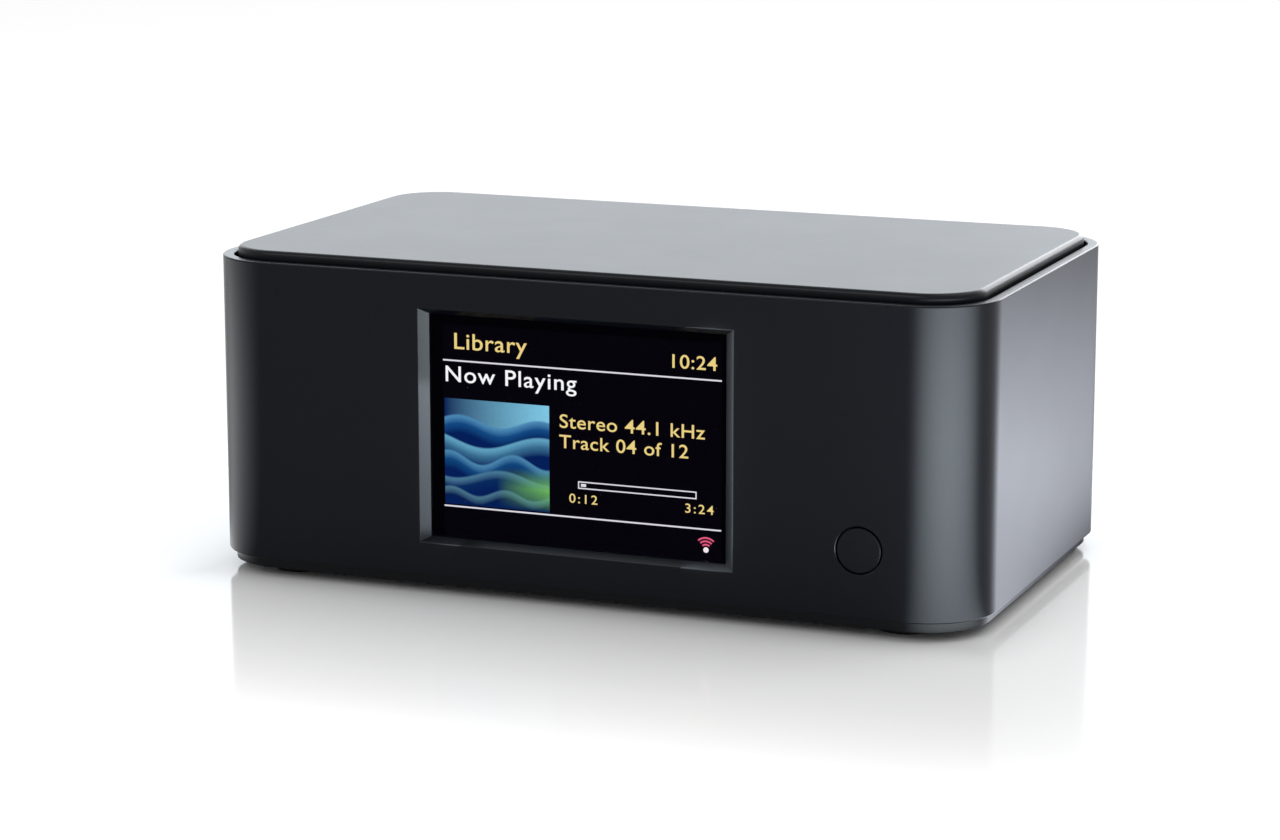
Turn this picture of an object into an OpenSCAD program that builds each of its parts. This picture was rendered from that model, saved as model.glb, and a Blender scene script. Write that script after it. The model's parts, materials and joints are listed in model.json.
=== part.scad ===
// Network music streamer: a small table-top audio box with a colour screen.
// Millimetres, +Z up, the front faces -Y. The origin lies on the surface that the
// feet stand on, under the middle of the case.

/* [Case] */
// Width of the sleeve
case_w = 160; // [152:1:200]
// Depth of the sleeve
case_d = 95; // [91:1:130]
// Outer radius of the upright corners
corner_r = 14; // [12:0.5:18]
// Thickness of the sleeve's wall
wall = 2.2; // [1.8:0.1:2.6]
// Radius of the webs that stand in the inner corners
web_r = 8.5; // [8:0.25:10]

/* [Window] */
// Width of the clear opening
window_w = 61; // [54:0.5:64]
// Height of the clear opening
window_h = 43.9; // [38:0.1:45]
// Clear opening's lower edge above the sleeve's lower edge
window_rise = 7.7; // [6.5:0.1:8.5]
// Height of the sleeve above the clear opening
window_head = 8; // [7:0.1:30]
// Run of the bevel at the left and the right
bevel_run_x = 1.7; // [0.6:0.1:2.5]
// Run of the bevel above and below
bevel_run_z = 1.1; // [0.6:0.1:2]
// Plain land left behind the bevel
bevel_land = 0.4; // [0.3:0.1:0.8]

/* [Top cover] */
// Shadow gap between the cover and the sleeve
cover_gap = 0.8; // [0.5:0.1:1.5]
// Height of the cover above the sleeve
cover_rise = 1.8; // [1.4:0.1:3]
// Radius of the cover's upper edge
cover_edge_r = 1.1; // [0.5:0.1:1.3]
// Thickness of the cover's plate
cover_t = 2.4; // [2:0.1:3]
// Depth of the cover's skirt below the sleeve's upper edge
cover_skirt = 3.2; // [2.8:0.1:4]
// Thickness of the cover's skirt
skirt_t = 2; // [1.5:0.1:3]
// Diameter of the cover's screw towers
tower_d = 7.5; // [6.5:0.1:8]
// Distance of the towers from the sleeve's outer sides
tower_inset_x = 10.5; // [9.5:0.1:11]
// Distance of the towers from the sleeve's front and rear
tower_inset_y = 21.5; // [20:0.5:26]

/* [Base] */
// Set-back of the base rim from the sleeve's outer face
rim_inset = 1.4; // [0.8:0.1:1.6]
// Height of the base rim under the sleeve
rim_h = 2; // [1.6:0.1:3]
// Height of the locating lip inside the sleeve
lip_h = 2.4; // [1.6:0.1:3]
// Thickness of the locating lip
lip_t = 1.6; // [1:0.1:2]
// Clearance of the lip in the sleeve
lip_fit = 0.2; // [0.1:0.05:0.3]
// Height of the base bosses above the floor
boss_h = 5; // [4:0.1:5.5]
// Diameter of the base bosses
boss_d = 9; // [8:0.1:9.5]
// Width of a vent slot
vent_w = 2.4; // [1.5:0.1:3]
// Length of a vent slot
vent_l = 30; // [15:1:34]
// Distance from one vent slot to the next
vent_pitch = 6; // [4:0.5:8]
// Number of vent slots
vent_count = 9; // [3:2:11]
// Width of the blocks that carry the connector bay
rest_w = 10; // [6:0.5:14]
// Place of those blocks from the middle
rest_x = 38; // [30:0.5:46]
// Gap in the locating lip beside the front bracket
lip_relief = 1; // [0.5:0.1:3]

/* [Feet] */
// Height of a foot below the base
foot_h = 1.6; // [1.2:0.1:4]
// Diameter of a foot
foot_d = 12; // [8:0.5:13]
// Depth of a foot's seat in the base
foot_seat = 0.4; // [0.2:0.1:0.8]
// Distance of the feet from the sleeve's outer sides
foot_inset_x = 16.5; // [14:0.5:20]
// Distance of the feet from the sleeve's front and rear
foot_inset_y = 10.5; // [9.5:0.5:11]

/* [Display] */
// Thickness of the gasket between the wall and the lens
gasket_t = 0.3; // [0.2:0.1:0.6]
// Width of the gasket's border
gasket_border = 1.8; // [1.2:0.1:2.2]
// Reach of the lens past the clear opening
lens_margin = 2.4; // [2.2:0.1:3]
// Thickness of the lens
lens_t = 1.2; // [0.8:0.1:1.6]
// Width of the screen module past the clear opening, both sides together
lcd_over_w = 8.2; // [7:0.1:13]
// Height of the screen module past the clear opening, both sides together
lcd_over_h = 6.1; // [5.2:0.1:7]
// Middle of the screen module below the middle of the clear opening
lcd_drop = 1.85; // [1.4:0.05:2.1]
// Thickness of the screen's glass cell
lcd_glass_t = 1.2; // [0.8:0.1:1.6]
// Thickness of the screen's backlight tray
backlight_t = 1.6; // [1:0.1:2.2]
// Clearance of the screen in its bracket
lcd_fit = 0.2; // [0.1:0.05:0.3]

/* [Front bracket] */
// Thickness of the bracket's plate
bracket_t = 2.4; // [1.8:0.1:2.6]
// Thickness of the bracket's rim around the screen
bracket_rim = 1.6; // [1.2:0.1:2]
// Depth of the bracket's foot tabs
tab_d = 11; // [10:0.5:11.5]
// Width of the bracket's foot tabs
tab_w = 10; // [9:0.5:14]
// Distance of each foot tab from the middle
tab_x = 26; // [20:0.5:28]
// Thickness of the foot tabs
tab_t = 2; // [1.6:0.1:2.6]
// Gap around the display ribbon where it passes the bracket
notch_gap = 1; // [0.6:0.1:1.4]

/* [Button] */
// Diameter of the button's cap
button_d = 8.6; // [7:0.1:9.4]
// Ring gap between the cap and its hole
button_gap = 0.3; // [0.2:0.05:0.5]
// Middle of the button from the sleeve's right side
button_inset = 22.6; // [21:0.1:25]
// Middle of the button above the sleeve's lower edge
button_rise = 13; // [12.5:0.1:15]
// Travel of the button
button_travel = 0.6; // [0.3:0.1:0.8]
// Diameter of the flange behind the wall
flange_d = 12; // [11:0.1:13]
// Thickness of the flange
flange_t = 1; // [0.8:0.1:1.2]
// Play between the flange and the wall
flange_play = 0.1; // [0.05:0.05:0.2]
// Diameter of the button's stem
stem_d = 3.2; // [2.4:0.1:3.4]
// Running clearance of the stem in its guide
stem_fit = 0.08; // [0.04:0.01:0.1]
// Length of the guide tube behind the bracket
guide_l = 2.6; // [2:0.1:3]
// Wall of the guide tube
guide_wall = 1.8; // [1.2:0.1:2]
// Reach of the stem past the guide tube
stem_reach = 0.6; // [0.4:0.1:1]
// Diameter of the spring's wire
spring_wire = 0.4; // [0.3:0.05:0.5]
// Clearance of the spring around the stem
spring_fit = 0.4; // [0.3:0.05:0.6]
// Side of the switch body
switch_w = 6; // [5:0.1:7]
// Depth of the switch body
switch_t = 3.4; // [3:0.1:4]
// Diameter of the switch plunger
plunger_d = 3; // [2.4:0.1:3.4]
// Reach of the plunger from the switch body
plunger_reach = 1.5; // [1.2:0.1:2]
// Length of the plunger inside the switch body
plunger_seat = 1; // [0.8:0.1:1.2]
// Room left behind the plunger at the end of its travel
plunger_room = 0.3; // [0.2:0.1:0.6]
// Width of the button board
button_board_w = 14; // [12:0.5:15]
// Height of the button board
button_board_h = 22; // [21:0.5:23]
// Distance of the button board's screws from its ends
post_inset = 2.6; // [2.6:0.1:3]
// Diameter of the posts that carry the button board
post_d = 5; // [4.6:0.1:5.6]
// Thickness of the bracket left at the foot of a post's hole
post_floor = 1; // [0.6:0.1:1.6]

/* [Boards] */
// Thickness of the circuit boards
board_t = 1.6; // [1:0.1:2]
// Gap between the main board and the sleeve's inner sides
board_side = 17.8; // [17.5:0.1:19.8]
// Gap between the button board and the main board
board_front_gap = 6.9; // [6:0.1:12]
// Height of the standoffs under the main board
board_rise = 6; // [5.4:0.1:7]
// Diameter of the standoffs
standoff_d = 6; // [5:0.1:7]
// Standoffs' distance from the main board's sides
standoff_side = 6; // [4:0.5:7]
// Front standoffs' distance from the main board's front edge
standoff_front = 13; // [12:0.5:16]
// Rear standoffs' distance from the main board's rear edge
standoff_rear = 6; // [4:0.5:8]
// Clearance hole through a board
board_hole_d = 2.9; // [2.7:0.1:3.2]

/* [Connector bay] */
// Distance of the bay from the sleeve's inner sides
bay_side = 19.8; // [17.8:0.1:21.8]
// Clear height of the bay
bay_h = 29.5; // [28.5:0.5:34]
// Bay's floor above the sleeve's lower edge
bay_rise = 5.4; // [4.6:0.1:6]
// Depth of the bay from the sleeve's rear face
bay_depth = 8; // [7:0.1:9]
// Radius of the bay's corners
bay_r = 3; // [1.5:0.5:4]
// Overlap of the sleeve's edge over the bay's walls
bay_lip = 0.5; // [0.3:0.1:0.8]
// Thickness of the panel
panel_t = 2; // [1.6:0.1:2.4]
// Thickness of the bay's walls
bay_wall = 1.6; // [1.2:0.1:2]
// Clearance of the sockets in the panel
socket_fit = 0.2; // [0.1:0.05:0.4]
// Reach of the sockets out of the panel
socket_reach = 0.3; // [0.1:0.1:0.5]
// Gap between the main board and the panel
board_gap = 1.5; // [1:0.1:2]

/* [Phono sockets] */
// Distance of the stereo pair from the bay's side
audio_inset = 14; // [13:0.5:16]
// Distance from the stereo pair to the digital socket
coax_pitch = 19; // [17:0.5:20]
// Diameter of a socket's barrel
barrel_d = 8.3; // [8:0.1:8.6]
// Wall of a socket's barrel
barrel_wall = 0.7; // [0.5:0.1:0.9]
// Step from the barrel to its wider root
barrel_collar = 0.25; // [0.2:0.05:0.3]
// Reach of a barrel out of the panel
barrel_reach = 7.6; // [6:0.1:8]
// Seat depth of a barrel in its housing
barrel_seat = 6; // [4:0.5:8]
// Hole for the plug's pin
pin_hole_d = 3.4; // [3.2:0.1:3.8]
// Height of the lower barrels above the main board
barrel_rise = 6; // [5:0.1:6.4]
// Distance between the stacked barrels
barrel_pitch = 14; // [13:0.1:14.5]
// Width of a phono housing
phono_w = 12; // [11:0.1:13]
// Depth of a phono housing
phono_d = 13.5; // [12:0.1:15]
// Fit of each piece that seats in another
seat_fit = 0.05; // [0.03:0.01:0.08]
// Set-back of an insulator inside its barrel's mouth
insulator_set_back = 0.6; // [0.3:0.1:1.5]
// Closed end of an insulator
insulator_floor = 1; // [0.8:0.1:2]
// Height of the stereo housing above its upper barrel
pair_cap = 2; // [1.5:0.1:3]
// Height of the digital socket's housing above its screw
coax_cap = 4; // [3.6:0.1:6]

/* [Optical socket] */
// Distance from the digital socket to the optical socket
optical_pitch = 17; // [16:0.5:18]
// Side of the optical housing
optical_w = 10.4; // [10.2:0.1:11]
// Depth of the optical housing
optical_d = 14; // [13:0.1:15]
// Side of the optical cavity
cavity_w = 8.2; // [8:0.1:8.4]
// Depth of the optical cavity
cavity_d = 10; // [9.8:0.1:10.6]
// Side of the mouth in front of the flap
mouth_w = 7.4; // [6.8:0.1:7.6]
// Thickness of the lip around the mouth
mouth_lip = 0.8; // [0.6:0.1:1]
// Thickness of the flap
flap_t = 0.8; // [0.6:0.1:1]
// Clearance around the flap
flap_fit = 0.2; // [0.15:0.05:0.3]
// Radius of the flap's hinge pins
flap_pin_r = 0.5; // [0.4:0.05:0.55]
// Radius of the flap's knuckle
knuckle_r = 0.6; // [0.55:0.05:0.7]
// Wall left outside the flap's hinge pins
pin_wall = 0.3; // [0.25:0.05:0.5]
// Diameter of the light source
emitter_d = 2.2; // [1.6:0.1:2.6]
// Length of the light source
emitter_l = 1.4; // [0.8:0.1:1.4]

/* [Network socket] */
// Place of the network socket from the middle
lan_x = -16; // [-22:0.5:-8]
// Width of the network socket
lan_w = 16; // [15.5:0.1:17]
// Height of the network socket
lan_h = 13.5; // [13.2:0.1:14.5]
// Depth of the network socket
lan_d = 21.3; // [19:0.1:23]
// Width of the plug's hollow
plug_w = 11.9; // [11.7:0.1:12.5]
// Height of the plug's hollow
plug_h = 8.2; // [7:0.1:8.4]
// Depth of the plug's hollow
plug_d = 14; // [12:0.1:16]
// Height of the plug's hollow above the board
plug_rise = 3.6; // [3.2:0.1:4]
// Width of the latch slot
latch_w = 6.6; // [6:0.1:7]
// Height of the latch slot
latch_h = 2.2; // [1.6:0.1:2.4]
// Distance between the contacts
contact_pitch = 1.02; // [0.9:0.01:1.1]
// Width of a contact
contact_w = 0.5; // [0.3:0.05:0.6]
// Height of a contact
contact_t = 0.4; // [0.3:0.05:0.6]
// Length of a contact
contact_l = 9; // [6:0.5:10]
// Number of contacts
contact_count = 8; // [4:2:8]

/* [Power socket] */
// Distance of the power socket from the bay's side
dc_inset = 14; // [12:0.5:20]
// Width of the power socket
dc_w = 9; // [8.6:0.1:10]
// Height of the power socket
dc_h = 11; // [10:0.1:12]
// Depth of the power socket
dc_d = 14; // [12.5:0.1:15]
// Diameter of the power socket's bore
dc_bore_d = 6.4; // [6:0.1:6.6]
// Depth of the power socket's bore
dc_bore_l = 10; // [9:0.1:11]
// Diameter of the centre pin
dc_pin_d = 2.1; // [1.6:0.1:2.5]
// Length of the centre pin
dc_pin_l = 9.4; // [7:0.1:9.8]

/* [Radio] */
// Place of the radio module from the middle
wifi_x = 5; // [4:0.5:8]
// Middle of the radio module behind the main board's front edge
wifi_set_back = 24; // [22:0.5:26]
// Width of the radio module
wifi_w = 24; // [20:0.5:26]
// Depth of the radio module
wifi_d = 20; // [18:0.5:22]
// Thickness of the radio module's board
wifi_t = 1; // [0.8:0.1:1.6]
// Margin around the radio module's shield
shield_margin = 1.5; // [1:0.1:2]
// Height of the shield
shield_h = 2.2; // [1.6:0.1:3]
// Strip of the module in front of the shield
plug_strip = 5; // [4.5:0.1:6]
// Length of an aerial strip
antenna_w = 45; // [30:1:50]
// Depth of an aerial strip
antenna_d = 8; // [6:0.5:12]
// Thickness of an aerial strip
antenna_t = 0.8; // [0.4:0.1:1]
// Distance of the aerials' middles from the cover's sides
antenna_inset = 42; // [40:1:48]
// Distance of the aerials' middles from the cover's rear
antenna_set_in = 24.5; // [20:0.5:34]
// Diameter of an aerial lead
lead_d = 1.2; // [1:0.1:1.4]
// Diameter of a lead's plug
lead_plug_d = 2.6; // [2.2:0.1:3]
// Height of a lead's plug
lead_plug_h = 1.4; // [1:0.1:2]
// Distance of each lead's plug from the module's middle
lead_plug_x = 4; // [3:0.5:8]
// Straight end of a lead at its aerial and at its plug
lead_stub = 3; // [2:0.5:5]
// Pull of a lead's curve along those straight ends
lead_pull = 16; // [8:1:20]

/* [Circuit parts] */
// Place of the processor from the middle
processor_x = -20; // [-22:0.5:-18]
// Distance of the memory chips from the main board's side
memory_inset = 18; // [14:0.5:22]
// Distance between the memory chips
memory_pitch = 12; // [11:0.5:14]
// Middle of the processor behind the main board's front edge
processor_set_back = 20; // [18:0.5:24]
// Middle of the memory behind the main board's front edge
memory_set_back = 24.5; // [24:0.5:28]
// Distance of the converter chip from the main board's side
dac_inset = 16; // [14:0.5:20]
// Middle of the converter chip behind the main board's front edge
dac_set_back = 32; // [31:0.5:35]
// Distance of the supply coil from the main board's side
coil_inset = 16; // [14:0.5:20]
// Middle of the supply coil behind the main board's front edge
coil_set_back = 8; // [7:0.5:8.5]
// Distance of the first output capacitor from the main board's side
capacitor_inset = 30; // [29:0.5:32]
// First row of capacitors behind the main board's front edge
capacitor_set_back = 14; // [13:0.5:16]
// Output capacitors in a row
capacitor_columns = 3; // [1:1:3]
// Rows of output capacitors
capacitor_rows = 2; // [1:1:2]
// Side of the processor
processor_w = 17; // [12:0.5:20]
// Side of a memory chip
memory_w = 9; // [7:0.5:10]
// Side of the converter chip
dac_w = 8; // [6:0.5:10]
// Height of the chips
chip_h = 1.4; // [0.8:0.1:2]
// Diameter of an output capacitor
capacitor_d = 6.3; // [5:0.1:7]
// Height of an output capacitor
capacitor_h = 7.7; // [5:0.1:11]
// Distance between the output capacitors
capacitor_pitch = 8; // [7.5:0.5:9]
// Side of the supply coil
coil_w = 10; // [7:0.5:12]
// Height of the supply coil
coil_h = 5; // [3:0.5:6]

/* [Ribbons] */
// Thickness of a flat ribbon
ribbon_t = 0.3; // [0.2:0.05:0.4]
// Width of the display ribbon
display_ribbon_w = 20; // [14:0.5:24]
// Width of the button ribbon
button_ribbon_w = 6; // [4:0.5:7]
// Distance of the button ribbon from the button's middle, towards the screen
button_ribbon_shift = 2; // [1.6:0.1:3]
// Depth of a ribbon connector
connector_d = 5; // [4:0.5:6]
// Height of a ribbon connector
connector_h = 2.4; // [2:0.1:3]
// Border of a ribbon connector beside its ribbon
connector_border = 1; // [0.6:0.1:2]
// Distance of the connectors from the main board's front edge
connector_set_back = 3; // [2:0.5:4]
// Height of the display ribbon above the screen module's lower edge
ribbon_lift = 1.2; // [0.8:0.1:2]
// Length over which the display ribbon steps down to the board
ribbon_step = 6; // [4:0.5:9]
// Height of the button ribbon's start above its connector's middle
button_ribbon_lift = 0.8; // [0.4:0.1:2]
// Straight end of the button ribbon at its connector
button_ribbon_end = 1; // [0.5:0.1:2]

/* [Screws] */
// Diameter of the base screws
base_screw_d = 2.9; // [2.4:0.1:3]
// Length of the base screws
base_screw_l = 12; // [10:0.5:16]
// Diameter of the small screws
small_screw_d = 2.5; // [2:0.1:2.6]
// Diameter of the connector panel's screws
panel_screw_d = 2; // [1.8:0.1:2.2]
// Overhang of those screws' heads past their shanks
panel_head_overhang = 0.8; // [0.6:0.1:0.9]
// Clearance of a screw in its thread hole
thread_fit = 0.05; // [0.03:0.01:0.08]
// Clearance of a screw in its passing hole
pass_fit = 0.2; // [0.1:0.05:0.3]
// Height of a screw's head
head_h = 1.8; // [1.4:0.1:2]
// Overhang of a screw's head past its shank
head_overhang = 1.3; // [1:0.1:1.4]
// Depth of a base screw's head in the base
head_sink = 1; // [0.4:0.1:1.2]
// Clearance around a sunk head
head_fit = 0.3; // [0.2:0.05:0.4]
// Width of the cross recess in a head
recess_w = 0.7; // [0.5:0.1:0.9]
// Depth of the cross recess in a head
recess_depth = 1; // [0.6:0.1:1.2]
// Share of a head's width that its cross recess takes
recess_share = 0.7; // [0.5:0.05:0.8]
// Length of a thread hole left free past its screw
screw_spare = 1; // [0.5:0.1:2]

/* [Hidden] */
$fn = 64;
// cuts run this far past the faces that they open
cut = 1;
SIDES = [-1, 1];
ANODISED = "#1d1e20";
BLACK_PLASTIC = "#18181a";
SATIN_COVER = "#26272a";
RUBBER = "#101010";
BOARD_GREEN = "#1f5a38";
STEEL = "#b8bcc2";
GOLD = "#c9a04a";

sleeve_z = foot_h + rim_h;
sleeve_h = window_rise + window_h + window_head;
sleeve_top = sleeve_z + sleeve_h;
floor_z = sleeve_z;
front_y = -case_d / 2;
rear_y = case_d / 2;
inner_w = case_w - 2 * wall;
inner_d = case_d - 2 * wall;
inner_r = corner_r - wall;
inner_front_y = front_y + wall;
inner_rear_y = rear_y - wall;

cover_w = inner_w - 2 * cover_gap;
cover_d = inner_d - 2 * cover_gap;
cover_r = inner_r - cover_gap;
cover_top = sleeve_top + cover_rise;
cover_under = cover_top - cover_t;
cover_seat = sleeve_top - cover_skirt;
tower_x = case_w / 2 - tower_inset_x;
tower_y = case_d / 2 - tower_inset_y;
foot_x = case_w / 2 - foot_inset_x;
foot_y = case_d / 2 - foot_inset_y;
boss_top = floor_z + boss_h;

window_z = sleeve_z + window_rise + window_h / 2;
lens_w = window_w + 2 * lens_margin;
lens_h = window_h + 2 * lens_margin;
lens_y = inner_front_y + gasket_t;
lcd_y = lens_y + lens_t;
lcd_w = window_w + lcd_over_w;
lcd_h = window_h + lcd_over_h;
lcd_z = window_z - lcd_drop;
backlight_y = lcd_y + lcd_glass_t;
bracket_y = backlight_y + backlight_t;
bracket_back = bracket_y + bracket_t;
pocket_w = lcd_w + 2 * lcd_fit;
pocket_h = lcd_h + 2 * lcd_fit;
bracket_w = pocket_w + 2 * bracket_rim;
bracket_top = lcd_z + pocket_h / 2 + bracket_rim;
tab_y = bracket_back + tab_d / 2;

button_x = case_w / 2 - button_inset;
button_z = sleeve_z + button_rise;
flange_y = inner_front_y + flange_play;
flange_back = flange_y + flange_t;
guide_end = bracket_back + guide_l;
stem_end = guide_end + stem_reach;
switch_y = stem_end + plunger_reach;
button_board_y = switch_y + switch_t;
button_board_back = button_board_y + board_t;
button_post_z = button_board_h / 2 - post_inset;
button_arm_end = button_x + button_board_w / 2;

panel_y = rear_y - bay_depth;
panel_in = panel_y - panel_t;
bay_z = sleeve_z + bay_rise + bay_h / 2;
bay_w = inner_w - 2 * bay_side;
tray_z = sleeve_z + bay_rise - bay_wall;

board_z = floor_z + board_rise;
board_top = board_z + board_t;
board_back = panel_in - board_gap;
board_front = button_board_back + board_front_gap;
board_w = inner_w - 2 * board_side;
board_d = board_back - board_front;
standoff_x = board_w / 2 - standoff_side;
standoff_y = [board_front + standoff_front, board_back - standoff_rear];

socket_y = panel_y + socket_reach;
audio_x = bay_w / 2 - audio_inset;
coax_x = audio_x - coax_pitch;
optical_x = coax_x - optical_pitch;
dc_x = dc_inset - bay_w / 2;
barrel_r = barrel_d / 2;
collar_r = barrel_r + barrel_collar;
barrel_z = board_top + barrel_rise;
barrel_tip = panel_y + barrel_reach;
barrel_root = panel_in - barrel_seat;
insulator_r = barrel_r - barrel_wall - seat_fit;
phono_screw_z = barrel_z + barrel_pitch / 2;
pair_h = barrel_rise + barrel_pitch + barrel_r + pair_cap;
coax_h = barrel_rise + barrel_pitch / 2 + coax_cap;

optical_z = board_top + optical_w / 2;
flap_y = socket_y - mouth_lip - flap_fit / 2 - knuckle_r;
flap_axis_z = optical_z + cavity_w / 2 - knuckle_r - flap_fit;
flap_low = optical_z - cavity_w / 2 + flap_fit;
flap_w = cavity_w - 2 * flap_fit;
flap_pin_reach = (optical_w - cavity_w) / 2 - pin_wall;

plug_z = board_top + plug_rise;
dc_z = board_top + dc_h / 2;
dc_bottom = socket_y - dc_bore_l;

wifi_y = board_front + wifi_set_back;
wifi_top = board_top + wifi_t;
lead_plug_y = wifi_y - wifi_d / 2 + plug_strip / 2;
lead_foot = wifi_top + lead_plug_h;
antenna_x = cover_w / 2 - antenna_inset;
antenna_y = cover_d / 2 - antenna_set_in;
antenna_z = cover_under - antenna_t;
lead_sides = 8;
lead_steps = 10;

connector_y = board_front + connector_set_back;
ribbon_end_z = board_top + connector_h / 2;
ribbon_start_z = lcd_z - lcd_h / 2 + ribbon_lift;
button_ribbon_x = button_x - button_ribbon_shift;
button_ribbon_z = ribbon_end_z + button_ribbon_lift;

base_head_r = base_screw_d / 2 + head_overhang;
small_hole_r = small_screw_d / 2 + thread_fit;
base_screw_z = foot_h + head_sink + head_h;

// Shapes that several pieces share

// a flat outline with round corners, centred
module rounded_outline(w, d, r) {
    square([w - 2 * r, d], center = true);
    square([w, d - 2 * r], center = true);
    for (sx = SIDES, sy = SIDES)
        translate([sx * (w / 2 - r), sy * (d / 2 - r)]) circle(r);
}

// an upright block with round upright corners
module rounded_block(w, d, r, z, h) {
    translate([0, 0, z]) linear_extrude(h) rounded_outline(w, d, r);
}

// a block that stands on its lower face at height z, centred on x, from y0 to y1
module box(x, w, y0, y1, z, h) {
    translate([x - w / 2, y0, z]) cube([w, y1 - y0, h]);
}

// a round bar along +Y from y0 to y1
module bar(x, z, r, y0, y1) {
    translate([x, y0, z]) rotate([-90, 0, 0]) cylinder(r = r, h = y1 - y0);
}

// a plate in the upright X-Z plane with round corners, from y0 to y1
module upright_plate(w, h, r, x, z, y0, y1) {
    translate([x, y1, z]) rotate([90, 0, 0]) linear_extrude(y1 - y0) rounded_outline(w, h, r);
}

// a pan-head screw, head up, with the underside of its head at the origin
module screw(d, l, overhang = head_overhang) {
    head_r = d / 2 + overhang;
    difference() {
        cylinder(r = head_r, h = head_h);
        for (turn = [0, 90])
            rotate(turn) translate([-head_r * recess_share, -recess_w / 2, head_h - recess_depth])
                cube([2 * head_r * recess_share, recess_w, recess_depth + cut]);
    }
    translate([0, 0, -l]) cylinder(d = d, h = l);
}

// a tube along a list of points, with one ring of sides at each point
function unit(v) = v / norm(v);
function path_way(p, i) =
    i == 0 ? unit(p[1] - p[0])
    : i == len(p) - 1 ? unit(p[i] - p[i - 1])
    : unit(unit(p[i + 1] - p[i]) + unit(p[i] - p[i - 1]));
function ring_points(p, i, r, sides) =
    let (way = path_way(p, i), side = unit(cross([0, 1, 0], way)), other = cross(way, side))
    [for (k = [0:sides - 1]) p[i] + r * (side * cos(360 * k / sides) + other * sin(360 * k / sides))];
module tube(p, r, sides) {
    rings = len(p);
    points = [for (i = [0:rings - 1]) each ring_points(p, i, r, sides)];
    skin = [for (i = [0:rings - 2], k = [0:sides - 1])
        let (a = i * sides + k, b = i * sides + (k + 1) % sides)
        each [[a, a + sides, b], [b, a + sides, b + sides]]];
    first_cap = [for (k = [1:sides - 2]) [0, k, k + 1]];
    start = (rings - 1) * sides;
    last_cap = [for (k = [1:sides - 2]) [start, start + k + 1, start + k]];
    polyhedron(points, concat(skin, first_cap, last_cap));
}

// a flat ribbon across X that follows points in the Y-Z plane
module ribbon(x, w, path) {
    upper = [for (p = path) [p[0], p[1] + ribbon_t / 2]];
    lower = [for (i = [len(path) - 1:-1:0]) [path[i][0], path[i][1] - ribbon_t / 2]];
    translate([x - w / 2, 0, 0]) rotate([90, 0, 90]) linear_extrude(w) polygon(concat(upper, lower));
}

// Case

module window_cut() {
    deep = wall - bevel_land + cut;
    run_x = bevel_run_x * deep / (wall - bevel_land);
    run_z = bevel_run_z * deep / (wall - bevel_land);
    back = inner_front_y - bevel_land;
    open_y = back - deep;
    box(0, window_w, open_y, inner_front_y + cut, window_z - window_h / 2, window_h);
    intersection() {
        translate([0, 0, window_z - window_h]) linear_extrude(2 * window_h)
            polygon([[-window_w / 2, back], [window_w / 2, back],
                [window_w / 2 + run_x, open_y], [-window_w / 2 - run_x, open_y]]);
        translate([-window_w, 0, window_z]) rotate([90, 0, 90]) linear_extrude(2 * window_w)
            polygon([[back, -window_h / 2], [back, window_h / 2],
                [open_y, window_h / 2 + run_z], [open_y, -window_h / 2 - run_z]]);
    }
}

module sleeve() {
    web_z = sleeve_z + lip_h + lip_fit;
    color(ANODISED) {
        difference() {
            rounded_block(case_w, case_d, corner_r, sleeve_z, sleeve_h);
            rounded_block(inner_w, inner_d, inner_r, sleeve_z - cut, sleeve_h + 2 * cut);
            window_cut();
            bar(button_x, button_z, button_d / 2 + button_gap, front_y - cut, inner_front_y + cut);
            upright_plate(bay_w - 2 * bay_lip, bay_h - 2 * bay_lip, bay_r,
                0, bay_z, inner_rear_y - cut, rear_y + cut);
        }
        translate([0, 0, web_z]) linear_extrude(cover_seat - web_z) intersection() {
            difference() {
                rounded_outline(case_w - wall, case_d - wall, corner_r - wall / 2);
                square([inner_w - 2 * web_r, case_d], center = true);
                square([case_w, inner_d - 2 * web_r], center = true);
            }
            union() for (sx = SIDES, sy = SIDES)
                translate([sx * inner_w / 2, sy * inner_d / 2]) circle(web_r);
        }
    }
}

module quarter_round(r) {
    intersection() {
        circle(r);
        square(r);
    }
}

// a plate with round upright corners and a rounded upper edge
module edge_rounded_plate(w, d, r, z, h, edge) {
    ring_r = r - edge;
    rounded_block(w, d, r, z, h - edge);
    rounded_block(w - 2 * edge, d - 2 * edge, ring_r, z, h);
    translate([0, 0, z + h - edge]) {
        for (sx = SIDES, sy = SIDES)
            translate([sx * (w / 2 - r), sy * (d / 2 - r), 0])
                rotate_extrude() translate([ring_r, 0]) quarter_round(edge);
        for (turn = [0, 180]) rotate(turn) {
            translate([w / 2 - edge, d / 2 - r, 0]) rotate([90, 0, 0])
                linear_extrude(d - 2 * r) quarter_round(edge);
            translate([r - w / 2, d / 2 - edge, 0]) rotate([90, 0, 90])
                linear_extrude(w - 2 * r) quarter_round(edge);
        }
    }
}

module top_cover() {
    hole_r = base_screw_d / 2 + thread_fit;
    hole_top = base_screw_z + base_screw_l + screw_spare;
    color(SATIN_COVER) {
        difference() {
            edge_rounded_plate(cover_w, cover_d, cover_r, cover_seat, cover_top - cover_seat, cover_edge_r);
            rounded_block(cover_w - 2 * skirt_t, cover_d - 2 * skirt_t, cover_r - skirt_t,
                cover_seat - cut, cover_under - cover_seat + cut);
        }
        for (sx = SIDES, sy = SIDES)
            translate([sx * tower_x, sy * tower_y, 0]) difference() {
                translate([0, 0, boss_top]) cylinder(d = tower_d, h = cover_under - boss_top);
                translate([0, 0, boss_top - cut]) cylinder(r = hole_r, h = hole_top - boss_top + cut);
            }
    }
}

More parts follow.
